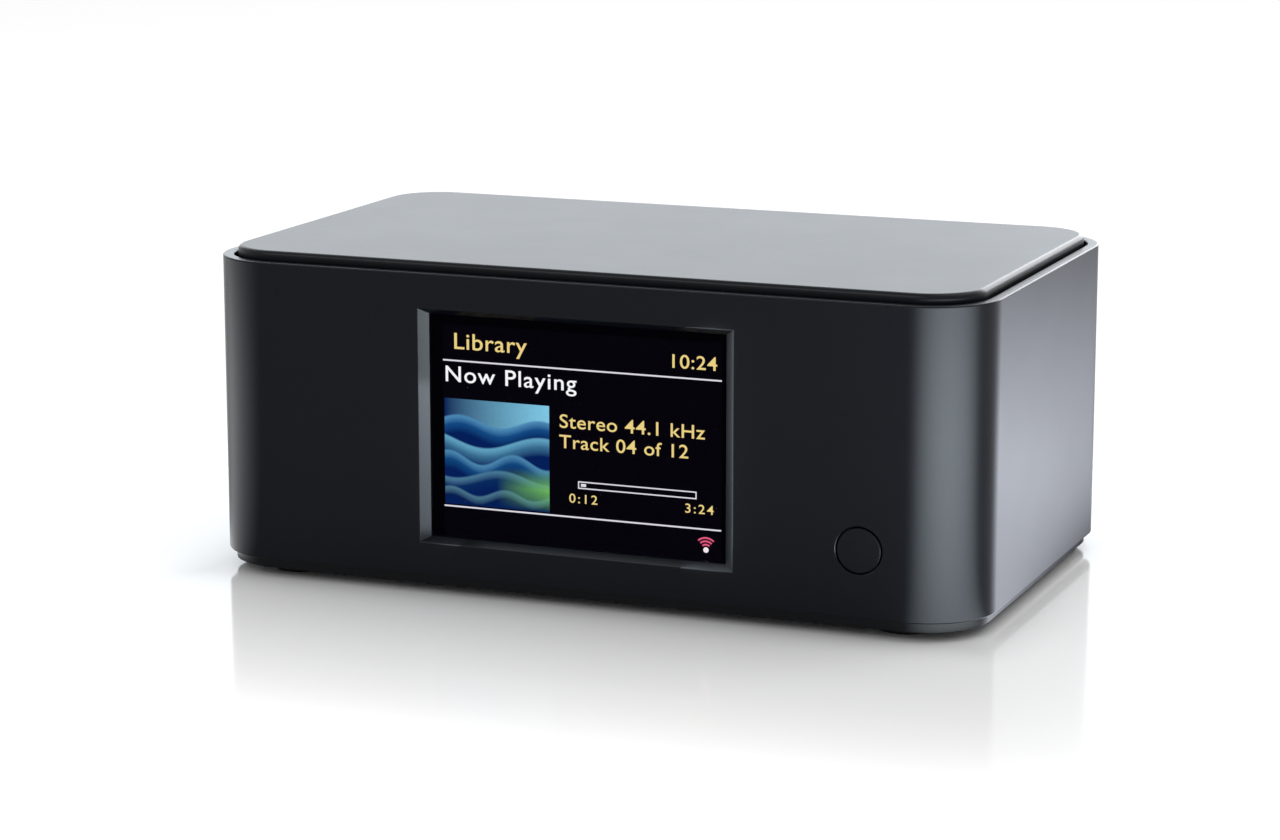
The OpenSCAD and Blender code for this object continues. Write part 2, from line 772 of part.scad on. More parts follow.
module base_plate() {
    rim_w = case_w - 2 * rim_inset;
    rim_d = case_d - 2 * rim_inset;
    rim_r = corner_r - rim_inset;
    lip_w = inner_w - 2 * lip_fit;
    lip_d = inner_d - 2 * lip_fit;
    lip_r = inner_r - lip_fit;
    vent_y = board_front + board_d / 2;
    color(BLACK_PLASTIC) {
        difference() {
            union() {
                rounded_block(rim_w, rim_d, rim_r, foot_h, rim_h);
                for (sx = SIDES, sy = SIDES)
                    translate([sx * tower_x, sy * tower_y, floor_z]) cylinder(d = boss_d, h = boss_h);
            }
            for (sx = SIDES, sy = SIDES) {
                translate([sx * tower_x, sy * tower_y, foot_h - cut]) {
                    cylinder(d = base_screw_d + 2 * pass_fit, h = boss_h + rim_h + 2 * cut);
                    cylinder(r = base_head_r + head_fit, h = head_sink + head_h + cut);
                }
                translate([sx * foot_x, sy * foot_y, foot_h - cut])
                    cylinder(d = foot_d, h = foot_seat + cut);
            }
            for (i = [0:vent_count - 1])
                box((i - (vent_count - 1) / 2) * vent_pitch, vent_w,
                    vent_y - vent_l / 2, vent_y + vent_l / 2, foot_h - cut, rim_h + 2 * cut);
        }
        difference() {
            rounded_block(lip_w, lip_d, lip_r, floor_z, lip_h);
            rounded_block(lip_w - 2 * lip_t, lip_d - 2 * lip_t, lip_r - lip_t,
                floor_z - cut, lip_h + 2 * cut);
            box(0, bracket_w + 2 * lip_relief, front_y, 0, floor_z - cut, lip_h + 2 * cut);
        }
        for (sx = SIDES) {
            blind_post(sx * tab_x, tab_y, boss_d, boss_h);
            for (y = standoff_y) blind_post(sx * standoff_x, y, standoff_d, board_rise);
            box(sx * rest_x, rest_w, panel_in, inner_rear_y - lip_fit - lip_t, floor_z, tray_z - floor_z);
        }
    }
}

// a post on the base's floor with a hole for a small screw
module blind_post(x, y, d, h) {
    translate([x, y, floor_z]) difference() {
        cylinder(d = d, h = h);
        cylinder(r = small_hole_r, h = h + cut);
    }
}

module rubber_feet() {
    color(RUBBER) for (sx = SIDES, sy = SIDES)
        translate([sx * foot_x, sy * foot_y, 0])
            cylinder(d = foot_d - 2 * seat_fit, h = foot_h + foot_seat);
}

module base_screws() {
    color(STEEL) for (sx = SIDES, sy = SIDES)
        translate([sx * tower_x, sy * tower_y, base_screw_z]) rotate([180, 0, 0])
            screw(base_screw_d, base_screw_l);
}

// Display

module display_lens() {
    color("#0a0a0c") box(0, lens_w, lens_y, lcd_y, window_z - lens_h / 2, lens_h);
}

module lens_gasket() {
    color(RUBBER) difference() {
        box(0, lens_w, inner_front_y, lens_y, window_z - lens_h / 2, lens_h);
        box(0, lens_w - 2 * gasket_border, inner_front_y - cut, lens_y + cut,
            window_z - lens_h / 2 + gasket_border, lens_h - 2 * gasket_border);
    }
}

module lcd_panel() {
    color("#12121c") box(0, lcd_w, lcd_y, backlight_y, lcd_z - lcd_h / 2, lcd_h);
}

module lcd_backlight() {
    color("#d8d8d2") box(0, lcd_w, backlight_y, bracket_y, lcd_z - lcd_h / 2, lcd_h);
}

module front_bracket() {
    arm_h = button_z + button_board_h / 2 - floor_z;
    notch_w = display_ribbon_w + 2 * notch_gap;
    notch_top = ribbon_start_z + ribbon_t / 2 + notch_gap;
    color("#2c2d30") {
        difference() {
            box(0, bracket_w, lcd_y + seat_fit, bracket_back, floor_z, bracket_top - floor_z);
            box(0, pocket_w, lcd_y - cut, bracket_y, lcd_z - pocket_h / 2, pocket_h);
            box(0, notch_w, bracket_y - cut, bracket_back + cut, floor_z - cut, notch_top - floor_z + cut);
        }
        for (sx = SIDES) difference() {
            box(sx * tab_x, tab_w, bracket_back, bracket_back + tab_d, boss_top, tab_t);
            translate([sx * tab_x, tab_y, boss_top - cut])
                cylinder(d = small_screw_d + 2 * pass_fit, h = tab_t + 2 * cut);
        }
        difference() {
            union() {
                translate([bracket_w / 2, bracket_y, floor_z])
                    cube([button_arm_end - bracket_w / 2, bracket_t, arm_h]);
                bar(button_x, button_z, stem_d / 2 + stem_fit + guide_wall, bracket_back, guide_end);
                for (s = SIDES)
                    bar(button_x, button_z + s * button_post_z, post_d / 2, bracket_back, button_board_y);
            }
            bar(button_x, button_z, stem_d / 2 + stem_fit, bracket_y - cut, guide_end + cut);
            for (s = SIDES)
                bar(button_x, button_z + s * button_post_z, small_hole_r,
                    bracket_y + post_floor, button_board_y + cut);
        }
    }
}

module bracket_screws() {
    color(STEEL) for (sx = SIDES)
        translate([sx * tab_x, tab_y, boss_top + tab_t]) screw(small_screw_d, tab_t + boss_h - screw_spare);
}

module display_ribbon() {
    middle_y = (bracket_back + board_front) / 2;
    color("#b5802e") ribbon(0, display_ribbon_w, [
        [bracket_y, ribbon_start_z],
        [middle_y - ribbon_step / 2, ribbon_start_z],
        [middle_y + ribbon_step / 2, ribbon_end_z],
        [connector_y, ribbon_end_z]
    ]);
}

module ribbon_connector() {
    color("#e6e1d2") box(0, display_ribbon_w + 2 * connector_border,
        connector_y, connector_y + connector_d, board_top, connector_h);
}

// Button

module power_button() {
    color(ANODISED) {
        bar(button_x, button_z, button_d / 2, front_y, flange_back);
        bar(button_x, button_z, flange_d / 2, flange_y, flange_back);
        bar(button_x, button_z, stem_d / 2, flange_back, stem_end);
    }
}

module button_spring() {
    inner = stem_d / 2 + spring_fit;
    color(STEEL) difference() {
        bar(button_x, button_z, inner + spring_wire, flange_back, bracket_y);
        bar(button_x, button_z, inner, flange_back - cut, bracket_y + cut);
    }
}

module button_board() {
    color(BOARD_GREEN) difference() {
        box(button_x, button_board_w, button_board_y, button_board_back,
            button_z - button_board_h / 2, button_board_h);
        for (s = SIDES)
            bar(button_x, button_z + s * button_post_z, board_hole_d / 2,
                button_board_y - cut, button_board_back + cut);
    }
}

module button_board_screws() {
    color(STEEL) for (s = SIDES)
        translate([button_x, button_board_back, button_z + s * button_post_z]) rotate([-90, 0, 0])
            screw(small_screw_d, board_t + (button_board_y - bracket_back) / 2);
}

module switch_body() {
    color("#202020") difference() {
        box(button_x, switch_w, switch_y, button_board_y, button_z - switch_w / 2, switch_w);
        bar(button_x, button_z, plunger_d / 2 + stem_fit, switch_y - cut,
            switch_y + plunger_seat + button_travel + plunger_room);
    }
}

module switch_plunger() {
    color("#3a3a3a") bar(button_x, button_z, plunger_d / 2, stem_end, switch_y + plunger_seat);
}

module button_ribbon() {
    color("#d9d4c4") ribbon(button_ribbon_x, button_ribbon_w, [
        [button_board_back, button_ribbon_z],
        [(button_board_back + connector_y) / 2, button_ribbon_z],
        [connector_y - button_ribbon_end, ribbon_end_z],
        [connector_y, ribbon_end_z]
    ]);
}

module button_connector() {
    color("#e6e1d2") box(button_ribbon_x, button_ribbon_w + 2 * connector_border,
        connector_y, connector_y + connector_d, board_top, connector_h);
}

// Main board

module main_board() {
    color(BOARD_GREEN) difference() {
        box(0, board_w, board_front, board_back, board_z, board_t);
        for (sx = SIDES, y = standoff_y)
            translate([sx * standoff_x, y, board_z - cut])
                cylinder(d = board_hole_d, h = board_t + 2 * cut);
    }
}

module board_screws() {
    color(STEEL) for (sx = SIDES, y = standoff_y)
        translate([sx * standoff_x, y, board_top]) screw(small_screw_d, board_t + board_rise - screw_spare);
}

// a square part on the main board, its middle behind the board's front edge
module chip(x, set_back, w, h) {
    y = board_front + set_back;
    box(x, w, y - w / 2, y + w / 2, board_top, h);
}

module processor() {
    color("#232327") chip(processor_x, processor_set_back, processor_w, chip_h);
}

module memory_chips() {
    color("#232327") for (s = SIDES)
        chip(memory_inset - board_w / 2, memory_set_back + s * memory_pitch / 2, memory_w, chip_h);
}

module dac_chip() {
    color("#232327") chip(board_w / 2 - dac_inset, dac_set_back, dac_w, chip_h);
}

module output_capacitors() {
    color("#c8ccd2") for (i = [0:capacitor_columns - 1], j = [0:capacitor_rows - 1])
        translate([board_w / 2 - capacitor_inset + i * capacitor_pitch,
            board_front + capacitor_set_back + j * capacitor_pitch, board_top])
            cylinder(d = capacitor_d, h = capacitor_h);
}

module supply_coil() {
    color("#3a3b40") chip(coil_inset - board_w / 2, coil_set_back, coil_w, coil_h);
}

module wifi_module() {
    color(BOARD_GREEN) box(wifi_x, wifi_w, wifi_y - wifi_d / 2, wifi_y + wifi_d / 2, board_top, wifi_t);
}

module wifi_shield() {
    color(STEEL) box(wifi_x, wifi_w - 2 * shield_margin, wifi_y - wifi_d / 2 + plug_strip,
        wifi_y + wifi_d / 2 - shield_margin, wifi_top, shield_h);
}

// Aerials under the cover and their leads

module antenna(side) {
    color("#23392c") box(side * antenna_x, antenna_w, antenna_y - antenna_d / 2,
        antenna_y + antenna_d / 2, antenna_z, antenna_t);
}

// points of a smooth curve that leaves a downwards and reaches b from above
function hanging_curve(a, b, pull) =
    [for (i = [0:lead_steps])
        let (t = i / lead_steps, s = 1 - t, down = [0, 0, pull])
        s * s * s * a + 3 * s * s * t * (a - down) + 3 * s * t * t * (b + down) + t * t * t * b];

module antenna_lead(side) {
    stub = [0, 0, lead_stub];
    upper = [side * antenna_x, antenna_y, antenna_z];
    lower = [wifi_x + side * lead_plug_x, lead_plug_y, lead_foot];
    curve = hanging_curve(upper - stub, lower + stub, lead_pull);
    color("#2a2a2c") tube(concat([upper], curve, [lower]), lead_d / 2, lead_sides);
}

module antenna_left() {
    antenna(-1);
}

module antenna_right() {
    antenna(1);
}

module antenna_lead_left() {
    antenna_lead(-1);
}

module antenna_lead_right() {
    antenna_lead(1);
}

module antenna_plugs() {
    color(GOLD) for (s = SIDES)
        translate([wifi_x + s * lead_plug_x, lead_plug_y, wifi_top])
            cylinder(d = lead_plug_d, h = lead_plug_h);
}

// Connector bay

module socket_hole(x, w, h) {
    box(x, w + 2 * socket_fit, panel_in - cut, panel_y + cut, board_top - socket_fit, h + 2 * socket_fit);
}

module barrel_hole(x, z) {
    bar(x, z, collar_r + socket_fit, panel_in - cut, panel_y + cut);
}

module rear_panel() {
    color(BLACK_PLASTIC) difference() {
        upright_plate(bay_w + 2 * bay_wall, bay_h + 2 * bay_wall, bay_r + bay_wall,
            0, bay_z, panel_in, inner_rear_y);
        upright_plate(bay_w, bay_h, bay_r, 0, bay_z, panel_y, inner_rear_y + cut);
        for (z = [barrel_z, barrel_z + barrel_pitch]) barrel_hole(audio_x, z);
        barrel_hole(coax_x, barrel_z);
        socket_hole(optical_x, optical_w, optical_w);
        socket_hole(lan_x, lan_w, lan_h);
        socket_hole(dc_x, dc_w, dc_h);
        for (x = [audio_x, coax_x])
            bar(x, phono_screw_z, panel_screw_d / 2 + pass_fit, panel_in - cut, panel_y + cut);
    }
}

module rear_panel_screws() {
    color(STEEL) for (x = [audio_x, coax_x])
        translate([x, panel_y, phono_screw_z]) rotate([-90, 0, 0])
            screw(panel_screw_d, panel_t + barrel_seat, panel_head_overhang);
}

module phono_housing(x, h, heights) {
    color("#17171a") difference() {
        box(x, phono_w, panel_in - phono_d, panel_in, board_top, h);
        for (z = heights) bar(x, z, collar_r + seat_fit, barrel_root, panel_in + cut);
        bar(x, phono_screw_z, panel_screw_d / 2 + thread_fit, barrel_root - screw_spare, panel_in + cut);
    }
}

module phono_barrel(x, z) {
    color(GOLD) difference() {
        union() {
            bar(x, z, barrel_r, barrel_root, barrel_tip);
            bar(x, z, collar_r, barrel_root, panel_y);
        }
        bar(x, z, barrel_r - barrel_wall, barrel_root - cut, barrel_tip + cut);
    }
}

module phono_insulator(x, z, shade) {
    color(shade) difference() {
        bar(x, z, insulator_r, barrel_root, barrel_tip - insulator_set_back);
        bar(x, z, pin_hole_d / 2, barrel_root + insulator_floor, barrel_tip + cut);
    }
}

module audio_housing() {
    phono_housing(audio_x, pair_h, [barrel_z, barrel_z + barrel_pitch]);
}

module audio_barrel_left() {
    phono_barrel(audio_x, barrel_z + barrel_pitch);
}

module audio_barrel_right() {
    phono_barrel(audio_x, barrel_z);
}

module audio_insulator_left() {
    phono_insulator(audio_x, barrel_z + barrel_pitch, "#f0f0ec");
}

module audio_insulator_right() {
    phono_insulator(audio_x, barrel_z, "#c02020");
}

module coax_housing() {
    phono_housing(coax_x, coax_h, [barrel_z]);
}

module coax_barrel() {
    phono_barrel(coax_x, barrel_z);
}

module coax_insulator() {
    phono_insulator(coax_x, barrel_z, "#d07818");
}

module optical_housing() {
    back = socket_y - cavity_d;
    color("#17171a") difference() {
        box(optical_x, optical_w, socket_y - optical_d, socket_y, board_top, optical_w);
        box(optical_x, cavity_w, back, socket_y - mouth_lip, optical_z - cavity_w / 2, cavity_w);
        box(optical_x, mouth_w, back, socket_y + cut, optical_z - mouth_w / 2, mouth_w);
        translate([optical_x, flap_y, flap_axis_z]) rotate([0, 90, 0])
            cylinder(r = flap_pin_r + seat_fit,
                h = cavity_w + 2 * flap_pin_reach + flap_fit, center = true);
    }
}

module optical_shutter() {
    pin_l = cavity_w + 2 * flap_pin_reach;
    color("#2a2a2e") {
        box(optical_x, flap_w, flap_y - flap_t / 2, flap_y + flap_t / 2, flap_low, flap_axis_z - flap_low);
        translate([optical_x, flap_y, flap_axis_z]) rotate([0, 90, 0]) {
            cylinder(r = knuckle_r, h = flap_w, center = true);
            cylinder(r = flap_pin_r, h = pin_l, center = true);
        }
    }
}

module optical_emitter() {
    back = socket_y - cavity_d;
    color("#d02818") bar(optical_x, optical_z, emitter_d / 2, back, back + emitter_l);
}

module ethernet_jack() {
    color("#1b1b1e") difference() {
        box(lan_x, lan_w, socket_y - lan_d, socket_y, board_top, lan_h);
        box(lan_x, plug_w, socket_y - plug_d, socket_y + cut, plug_z, plug_h);
        box(lan_x, latch_w, socket_y - plug_d, socket_y + cut, plug_z - latch_h, latch_h + cut);
    }
}

module ethernet_contacts() {
    color(GOLD) for (i = [0:contact_count - 1])
        box(lan_x + (i - (contact_count - 1) / 2) * contact_pitch, contact_w, socket_y - plug_d,
            socket_y - plug_d + contact_l, plug_z + plug_h - contact_t, contact_t);
}

module dc_housing() {
    color("#17171a") difference() {
        box(dc_x, dc_w, socket_y - dc_d, socket_y, board_top, dc_h);
        bar(dc_x, dc_z, dc_bore_d / 2, dc_bottom, socket_y + cut);
    }
}

module dc_pin() {
    color(STEEL) bar(dc_x, dc_z, dc_pin_d / 2, dc_bottom, dc_bottom + dc_pin_l);
}

sleeve();
top_cover();
base_plate();
rubber_feet();
base_screws();
display_lens();
lens_gasket();
lcd_panel();
lcd_backlight();
front_bracket();
bracket_screws();
display_ribbon();
ribbon_connector();
power_button();
button_spring();
button_board();
button_board_screws();
switch_body();
switch_plunger();
button_ribbon();
button_connector();
main_board();
board_screws();
processor();
memory_chips();
dac_chip();
output_capacitors();
supply_coil();
wifi_module();
wifi_shield();
antenna_left();
antenna_right();
antenna_lead_left();
antenna_lead_right();
antenna_plugs();
rear_panel();
rear_panel_screws();
audio_housing();
audio_barrel_left();
audio_barrel_right();
audio_insulator_left();
audio_insulator_right();
coax_housing();
coax_barrel();
coax_insulator();
optical_housing();
optical_shutter();
optical_emitter();
ethernet_jack();
ethernet_contacts();
dc_housing();
dc_pin();
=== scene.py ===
# %% [markdown]
# # A small network music streamer
# The part arrives as exact solids in metres, standing on its feet with its front towards -Y. This lesson
# gives those solids their looks: a black anodised sleeve, a satin cover, a lit colour screen and a bay of
# sockets. Every step first says what the piece is on the real box, how it could be made, and why it is
# made this way.

# %% Load the solids
import json
import math

import bmesh
import bpy
from mathutils import Matrix, Vector


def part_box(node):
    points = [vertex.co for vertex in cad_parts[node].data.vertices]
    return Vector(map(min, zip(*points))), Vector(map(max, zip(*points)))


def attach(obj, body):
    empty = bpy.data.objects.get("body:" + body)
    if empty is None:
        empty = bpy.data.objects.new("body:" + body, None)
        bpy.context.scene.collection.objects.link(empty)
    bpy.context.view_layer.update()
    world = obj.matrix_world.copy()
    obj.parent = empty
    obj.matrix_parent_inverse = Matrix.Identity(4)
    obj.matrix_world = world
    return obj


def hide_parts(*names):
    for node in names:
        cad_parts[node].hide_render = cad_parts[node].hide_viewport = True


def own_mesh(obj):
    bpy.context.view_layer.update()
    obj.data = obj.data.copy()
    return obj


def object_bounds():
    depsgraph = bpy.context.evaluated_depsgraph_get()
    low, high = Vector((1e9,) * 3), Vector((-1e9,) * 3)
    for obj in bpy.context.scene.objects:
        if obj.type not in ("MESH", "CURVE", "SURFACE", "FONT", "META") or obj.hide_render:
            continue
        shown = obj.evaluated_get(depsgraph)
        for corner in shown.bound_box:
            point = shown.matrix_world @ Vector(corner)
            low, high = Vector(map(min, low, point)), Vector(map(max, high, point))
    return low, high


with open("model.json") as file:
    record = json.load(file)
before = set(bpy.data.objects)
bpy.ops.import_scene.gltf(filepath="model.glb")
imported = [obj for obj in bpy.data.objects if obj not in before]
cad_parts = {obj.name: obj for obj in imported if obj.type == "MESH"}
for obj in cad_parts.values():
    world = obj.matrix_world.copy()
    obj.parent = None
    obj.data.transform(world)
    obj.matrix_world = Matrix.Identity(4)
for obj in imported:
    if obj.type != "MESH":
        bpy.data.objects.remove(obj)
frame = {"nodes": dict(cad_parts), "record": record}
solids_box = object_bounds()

MM = 0.001
studio = bpy.context.scene
studio.view_settings.view_transform = "Standard"
slot_of = {row["node"]: row["material_slot"] for row in frame["record"]["subparts"]}
whole = solids_box[1] - solids_box[0]
print(len(slot_of), "solids nodes in a box of", [round(side / MM, 1) for side in whole], "mm")

# %% [markdown]
# ## The camera
# The photograph was taken with a long lens from the front right and a little above. The viewing angle
# could be matched by eye, but the box has six straight edges that vanish towards known directions, so the
# angle, the lens and the distance follow from them. The aim point is given beside the part's own origin,
# in the picture's axes, with a small lift.

# %% Place the camera
VIEW_AZIMUTH = math.radians(21.93)
VIEW_ELEVATION = math.radians(11.75)
VIEW_DISTANCE = 725.93 * MM
AIM_ACROSS = -4.95 * MM
AIM_UP = 25.9 * MM
AIM_LIFT = 1.29 * MM
SENSOR_MM = 36.0
LENS_MM = 100.04

towards_camera = Vector((
    math.sin(VIEW_AZIMUTH) * math.cos(VIEW_ELEVATION),
    -math.cos(VIEW_AZIMUTH) * math.cos(VIEW_ELEVATION),
    math.sin(VIEW_ELEVATION),
))
picture_right = Vector((math.cos(VIEW_AZIMUTH), math.sin(VIEW_AZIMUTH), 0))
picture_up = towards_camera.cross(picture_right)
aim = picture_right * AIM_ACROSS + picture_up * AIM_UP + Vector((0, 0, AIM_LIFT))

lens = bpy.data.cameras.new("camera")
lens.sensor_width = SENSOR_MM
lens.lens = LENS_MM
camera = bpy.data.objects.new("camera", lens)
camera.location = aim + towards_camera * VIEW_DISTANCE
camera.rotation_mode = "QUATERNION"
camera.rotation_quaternion = (-towards_camera).to_track_quat("-Z", "Y")
studio.collection.objects.link(camera)
studio.camera = camera
print("camera at", [round(x, 3) for x in camera.location])

# %% [markdown]
# ## Shader sums as plain Python
# A finish is a small calculation on every point of a surface. Node by node it is hard to read, so a Wire
# stands for one socket and turns + - * / into Math nodes, and a Paint writes any other node in one call.
# Numbers alone stay numbers, and what is the same all over a surface goes straight into the shader's own
# socket.

# %% Wire and Paint
class Wire:
    """One output socket. Arithmetic on it adds Math nodes."""

    def __init__(self, paint, socket):
        self.paint = paint
        self.socket = socket

    def math(self, operation, *values):
        return self.paint.add("ShaderNodeMath", {"operation": operation}, dict(enumerate(values)))

    def __add__(self, other):
        return self.math("ADD", self, other)

    def __sub__(self, other):
        return self.math("SUBTRACT", self, other)

    def __rsub__(self, other):
        return self.math("SUBTRACT", other, self)

    def __mul__(self, other):
        return self.math("MULTIPLY", self, other)

    def __truediv__(self, other):
        return self.math("DIVIDE", self, other)

    __radd__ = __add__
    __rmul__ = __mul__

    def sine(self):
        return self.math("SINE", self)

    def size(self):
        return self.math("ABSOLUTE", self)

    def root(self):
        return self.math("SQRT", self)

    def at_least(self, least):
        return self.math("MAXIMUM", self, least)

    def limited(self):
        return self.paint.add("ShaderNodeClamp", {}, {"Value": self})

    def over(self, limit, soft):
        """0 below the limit, 1 above it, over a soft edge."""
        return ((self - limit) / soft + 0.5).limited()


class Paint:
    """A node tree as it is written."""

    def __init__(self, tree):
        self.tree = tree
        tree.nodes.clear()

    def add(self, kind, settings=None, sockets=None, out=0):
        node = self.tree.nodes.new(kind)
        for name, value in (settings or {}).items():
            setattr(node, name, value)
        for key, value in (sockets or {}).items():
            if isinstance(value, Wire):
                self.tree.links.new(value.socket, node.inputs[key])
            else:
                node.inputs[key].default_value = value
        return Wire(self, node.outputs[out]) if node.outputs else None

    def place(self):
        return self.add("ShaderNodeTexCoord", out="Object")

    def axis(self, name):
        return self.add("ShaderNodeSeparateXYZ", {}, {"Vector": self.place()}, name)

    def noise(self, size, detail=2.0):
        """Cloudy values about 0.5, with spots of the given size in metres."""
        sockets = {"Vector": self.place(), "Scale": 1 / size, "Detail": detail}
        return self.add("ShaderNodeTexNoise", {}, sockets)

    def blend(self, share, first, second):
        return self.add("ShaderNodeMix", {"data_type": "RGBA"}, {0: share, 6: first, 7: second}, 2)

    def bump(self, height, depth):
        return self.add("ShaderNodeBump", {}, {"Height": height, "Distance": depth})

    def surface(self, sockets):
        shader = self.add("ShaderNodeBsdfPrincipled", {}, sockets)
        self.add("ShaderNodeOutputMaterial", {}, {"Surface": shader})


def new_finish(name):
    material = bpy.data.materials.new(name)
    material.use_nodes = True
    return material, Paint(material.node_tree)


def tone(red, green, blue):
    """A colour as a picture editor gives it, 0 to 255, as the linear values that a shader takes."""
    def linear(value):
        share = value / 255
        return share / 12.92 if share <= 0.04045 else ((share + 0.055) / 1.055) ** 2.4
    return tuple(linear(value) for value in (red, green, blue)) + (1.0,)


def scaled(colour, share):
    return tuple(share * part for part in colour[:3]) + (1.0,)


print("shader sums ready")

# %% [markdown]
# ## Floor and world
# The box stands on a glossy white sweep that runs out to a pure white background. The floor could be
# overlit until it clips, but then the box would be overlit too. So the floor and the world look white to
# rays from the camera and to reflections, while the light that falls on the box stays at a plain level
# and the floor keeps its shadow. The polish fades with the distance from the box, and the floor's glow
# fades out close to it, which paints a dark line of contact shadow. From below the floor is clear, so that
# the underside can be looked at.

# %% White sweep and world
FLOOR_REACH = 6.0
FLOOR_WHITES = ((0.9, 0.9, 0.9, 1), (0.92, 0.92, 0.92, 1))
FLOOR_DRIFT = 0.4
FLOOR_POLISH = 0.1
POLISH_SHARE = 0.62
POLISH_REACH = 0.085
FLOOR_GLOW = 0.36
# How far out from the box the painted contact shadow reaches: the floor's glow fades out within it.
PAINTED_SHADOW_REACH = 14 * MM
WORLD_FILL = 0.6


def seen_directly(paint):
    """1 for rays from the camera, from reflections and through glass, and 0 for light that falls."""
    kinds = ("Is Camera Ray", "Is Glossy Ray", "Is Transmission Ray")
    from_camera, mirrored, through = (paint.add("ShaderNodeLightPath", out=kind) for kind in kinds)
    return (from_camera + mirrored + through).limited()


def one_sided(paint, shader):
    """Gives the shader to the front of a surface and leaves the back clear."""
    clear = paint.add("ShaderNodeBsdfTransparent")
    behind = paint.add("ShaderNodeNewGeometry", out="Backfacing")
    both = paint.add("ShaderNodeMixShader", {}, {0: behind, 1: shader, 2: clear})
    paint.add("ShaderNodeOutputMaterial", {}, {"Surface": both})


def stage_piece(name, bm, material):
    mesh = bpy.data.meshes.new(name)
    bm.to_mesh(mesh)
    bm.free()
    mesh.materials.append(material)
    item = bpy.data.objects.new(name, mesh)
    studio.collection.objects.link(item)
    return item


def white_sweep():
    material, paint = new_finish("white_sweep")
    drift = paint.noise(FLOOR_DRIFT)
    away_x, away_y = (
        (paint.axis(name).size() - side / 2).at_least(0.0) for name, side in zip("XY", whole)
    )
    away = (away_x * away_x + away_y * away_y).root()
    # Painted contact shadow: the floor's glow is faded to black close to the box, so the floor is darker
    # there.
    painted_contact_shadow = (1 - away / PAINTED_SHADOW_REACH).limited()
    colour = paint.blend(drift, *FLOOR_WHITES)
    dull = paint.add("ShaderNodeBsdfPrincipled", {}, {
        "Base Color": colour,
        "Specular IOR Level": 0.0,
        "Emission Color": paint.blend(painted_contact_shadow * painted_contact_shadow, (1, 1, 1, 1), (0, 0, 0, 1)),
        "Emission Strength": seen_directly(paint) * FLOOR_GLOW,
    })
    polished = paint.add("ShaderNodeBsdfPrincipled", {}, {
        "Base Color": colour,
        "Roughness": FLOOR_POLISH,
    })
    spent = away / POLISH_REACH
    near = (1 - spent * spent * spent).limited() * POLISH_SHARE
    one_sided(paint, paint.add("ShaderNodeMixShader", {}, {0: near, 1: dull, 2: polished}))
    return material


def make_world():
    world = bpy.data.worlds.new("white_room")
    world.use_nodes = True
    paint = Paint(world.node_tree)
    strength = WORLD_FILL + seen_directly(paint) * (1 - WORLD_FILL)
    light = paint.add("ShaderNodeBackground", {}, {"Color": (1, 1, 1, 1), "Strength": strength})
    paint.add("ShaderNodeOutputWorld", {}, {"Surface": light})
    studio.world = world


sweep = bmesh.new()
bmesh.ops.create_circle(sweep, cap_ends=True, radius=FLOOR_REACH, segments=64)
stage_piece("floor", sweep, white_sweep())
make_world()
print("floor reaches", FLOOR_REACH, "m")

# %% [markdown]
# ## Soft light
# Black satin shows almost nothing of its own colour: what is seen is the light it mirrors. One box hangs
# above and lights everything. The cover mirrors a second one behind on the left, the cover's rim a third
# one behind, and the small front edges a narrow one in front. The upright faces are seen from above, so
# they mirror the floor, and there three glowing sheets lie: behind on the right for the pale side, in
# front on the right for the upright streak on the round corner, and on the left for the left corner.
# Plain rectangles would give the streak hard ends, so each sheet is a fan that fades from its middle
# line. Three small cards stand close before the window and light its bevels. All but the first box show
# in reflections only, and a brightness of 1 is what white paper shows.

# %% Hang the soft boxes
LAMP_AIM = Vector((0, 0, 0.03))
SOFT_BOXES = {
    # name: (place, size in metres, brightness, colour, whether it lights matt surfaces as well)
    "key_box": ((0.55, 0.35, 1.3), (1.0, 1.0), 2.0, (1.0, 1.0, 1.0), True),
    "cover_box": ((-0.55, 1.15, 0.6), (1.3, 0.9), 2.06, (0.84, 0.92, 1.0), False),
    "rim_box": ((0.2, 1.1, 0.36), (0.7, 0.5), 6.0, (0.95, 0.97, 1.0), False),
    "edge_box": ((-0.3, -0.75, 0.8), (0.8, 0.25), 6.0, (0.95, 0.97, 1.0), False),
}


def hang_box(name, place, size, brightness, colour, lights_matt, aim_point=LAMP_AIM):
    lamp = bpy.data.lights.new(name, "AREA")
    lamp.shape = "RECTANGLE"
    lamp.size, lamp.size_y = size
    lamp.energy = brightness * math.pi * size[0] * size[1]
    lamp.color = colour
    stand = bpy.data.objects.new(name, lamp)
    stand.location = place
    stand.rotation_mode = "QUATERNION"
    stand.rotation_quaternion = (aim_point - stand.location).to_track_quat("-Z", "Y")
    stand.visible_camera = False
    stand.visible_diffuse = lights_matt
    stand.visible_transmission = lights_matt
    studio.collection.objects.link(stand)


for box_name, box_setting in SOFT_BOXES.items():
    hang_box(box_name, *box_setting)
print("soft boxes:", ", ".join(SOFT_BOXES))

# %% Lay the glowing sheets
SHEET_RISE = 0.3 * MM
SHEET_STEPS = 24
SHEETS = {
    # name: (start in m, azimuth and half angle in degrees, reach in m, brightness, colour, swell, fade)
    "side_sheet": (
        (0.074, -0.045), 158, 18.5, (0.006, 0.6), 6.0, (0.86, 0.9, 1.0, 1), (0.5, 0.34), (0.6, 0.47),
    ),
    "corner_sheet": (
        (0.066, -0.0335), 47, 54, (0.017, 0.5), 34.0, (0.86, 0.95, 1.0, 1), (0.35, 0.35), (0.6, 0.34),
    ),
    "left_sheet": (
        (-0.066, -0.0335), -76, 46, (0.017, 0.4), 4.2, (0.95, 0.97, 1.0, 1), (0.5, 0.3), (0.9, 0.5),
    ),
}


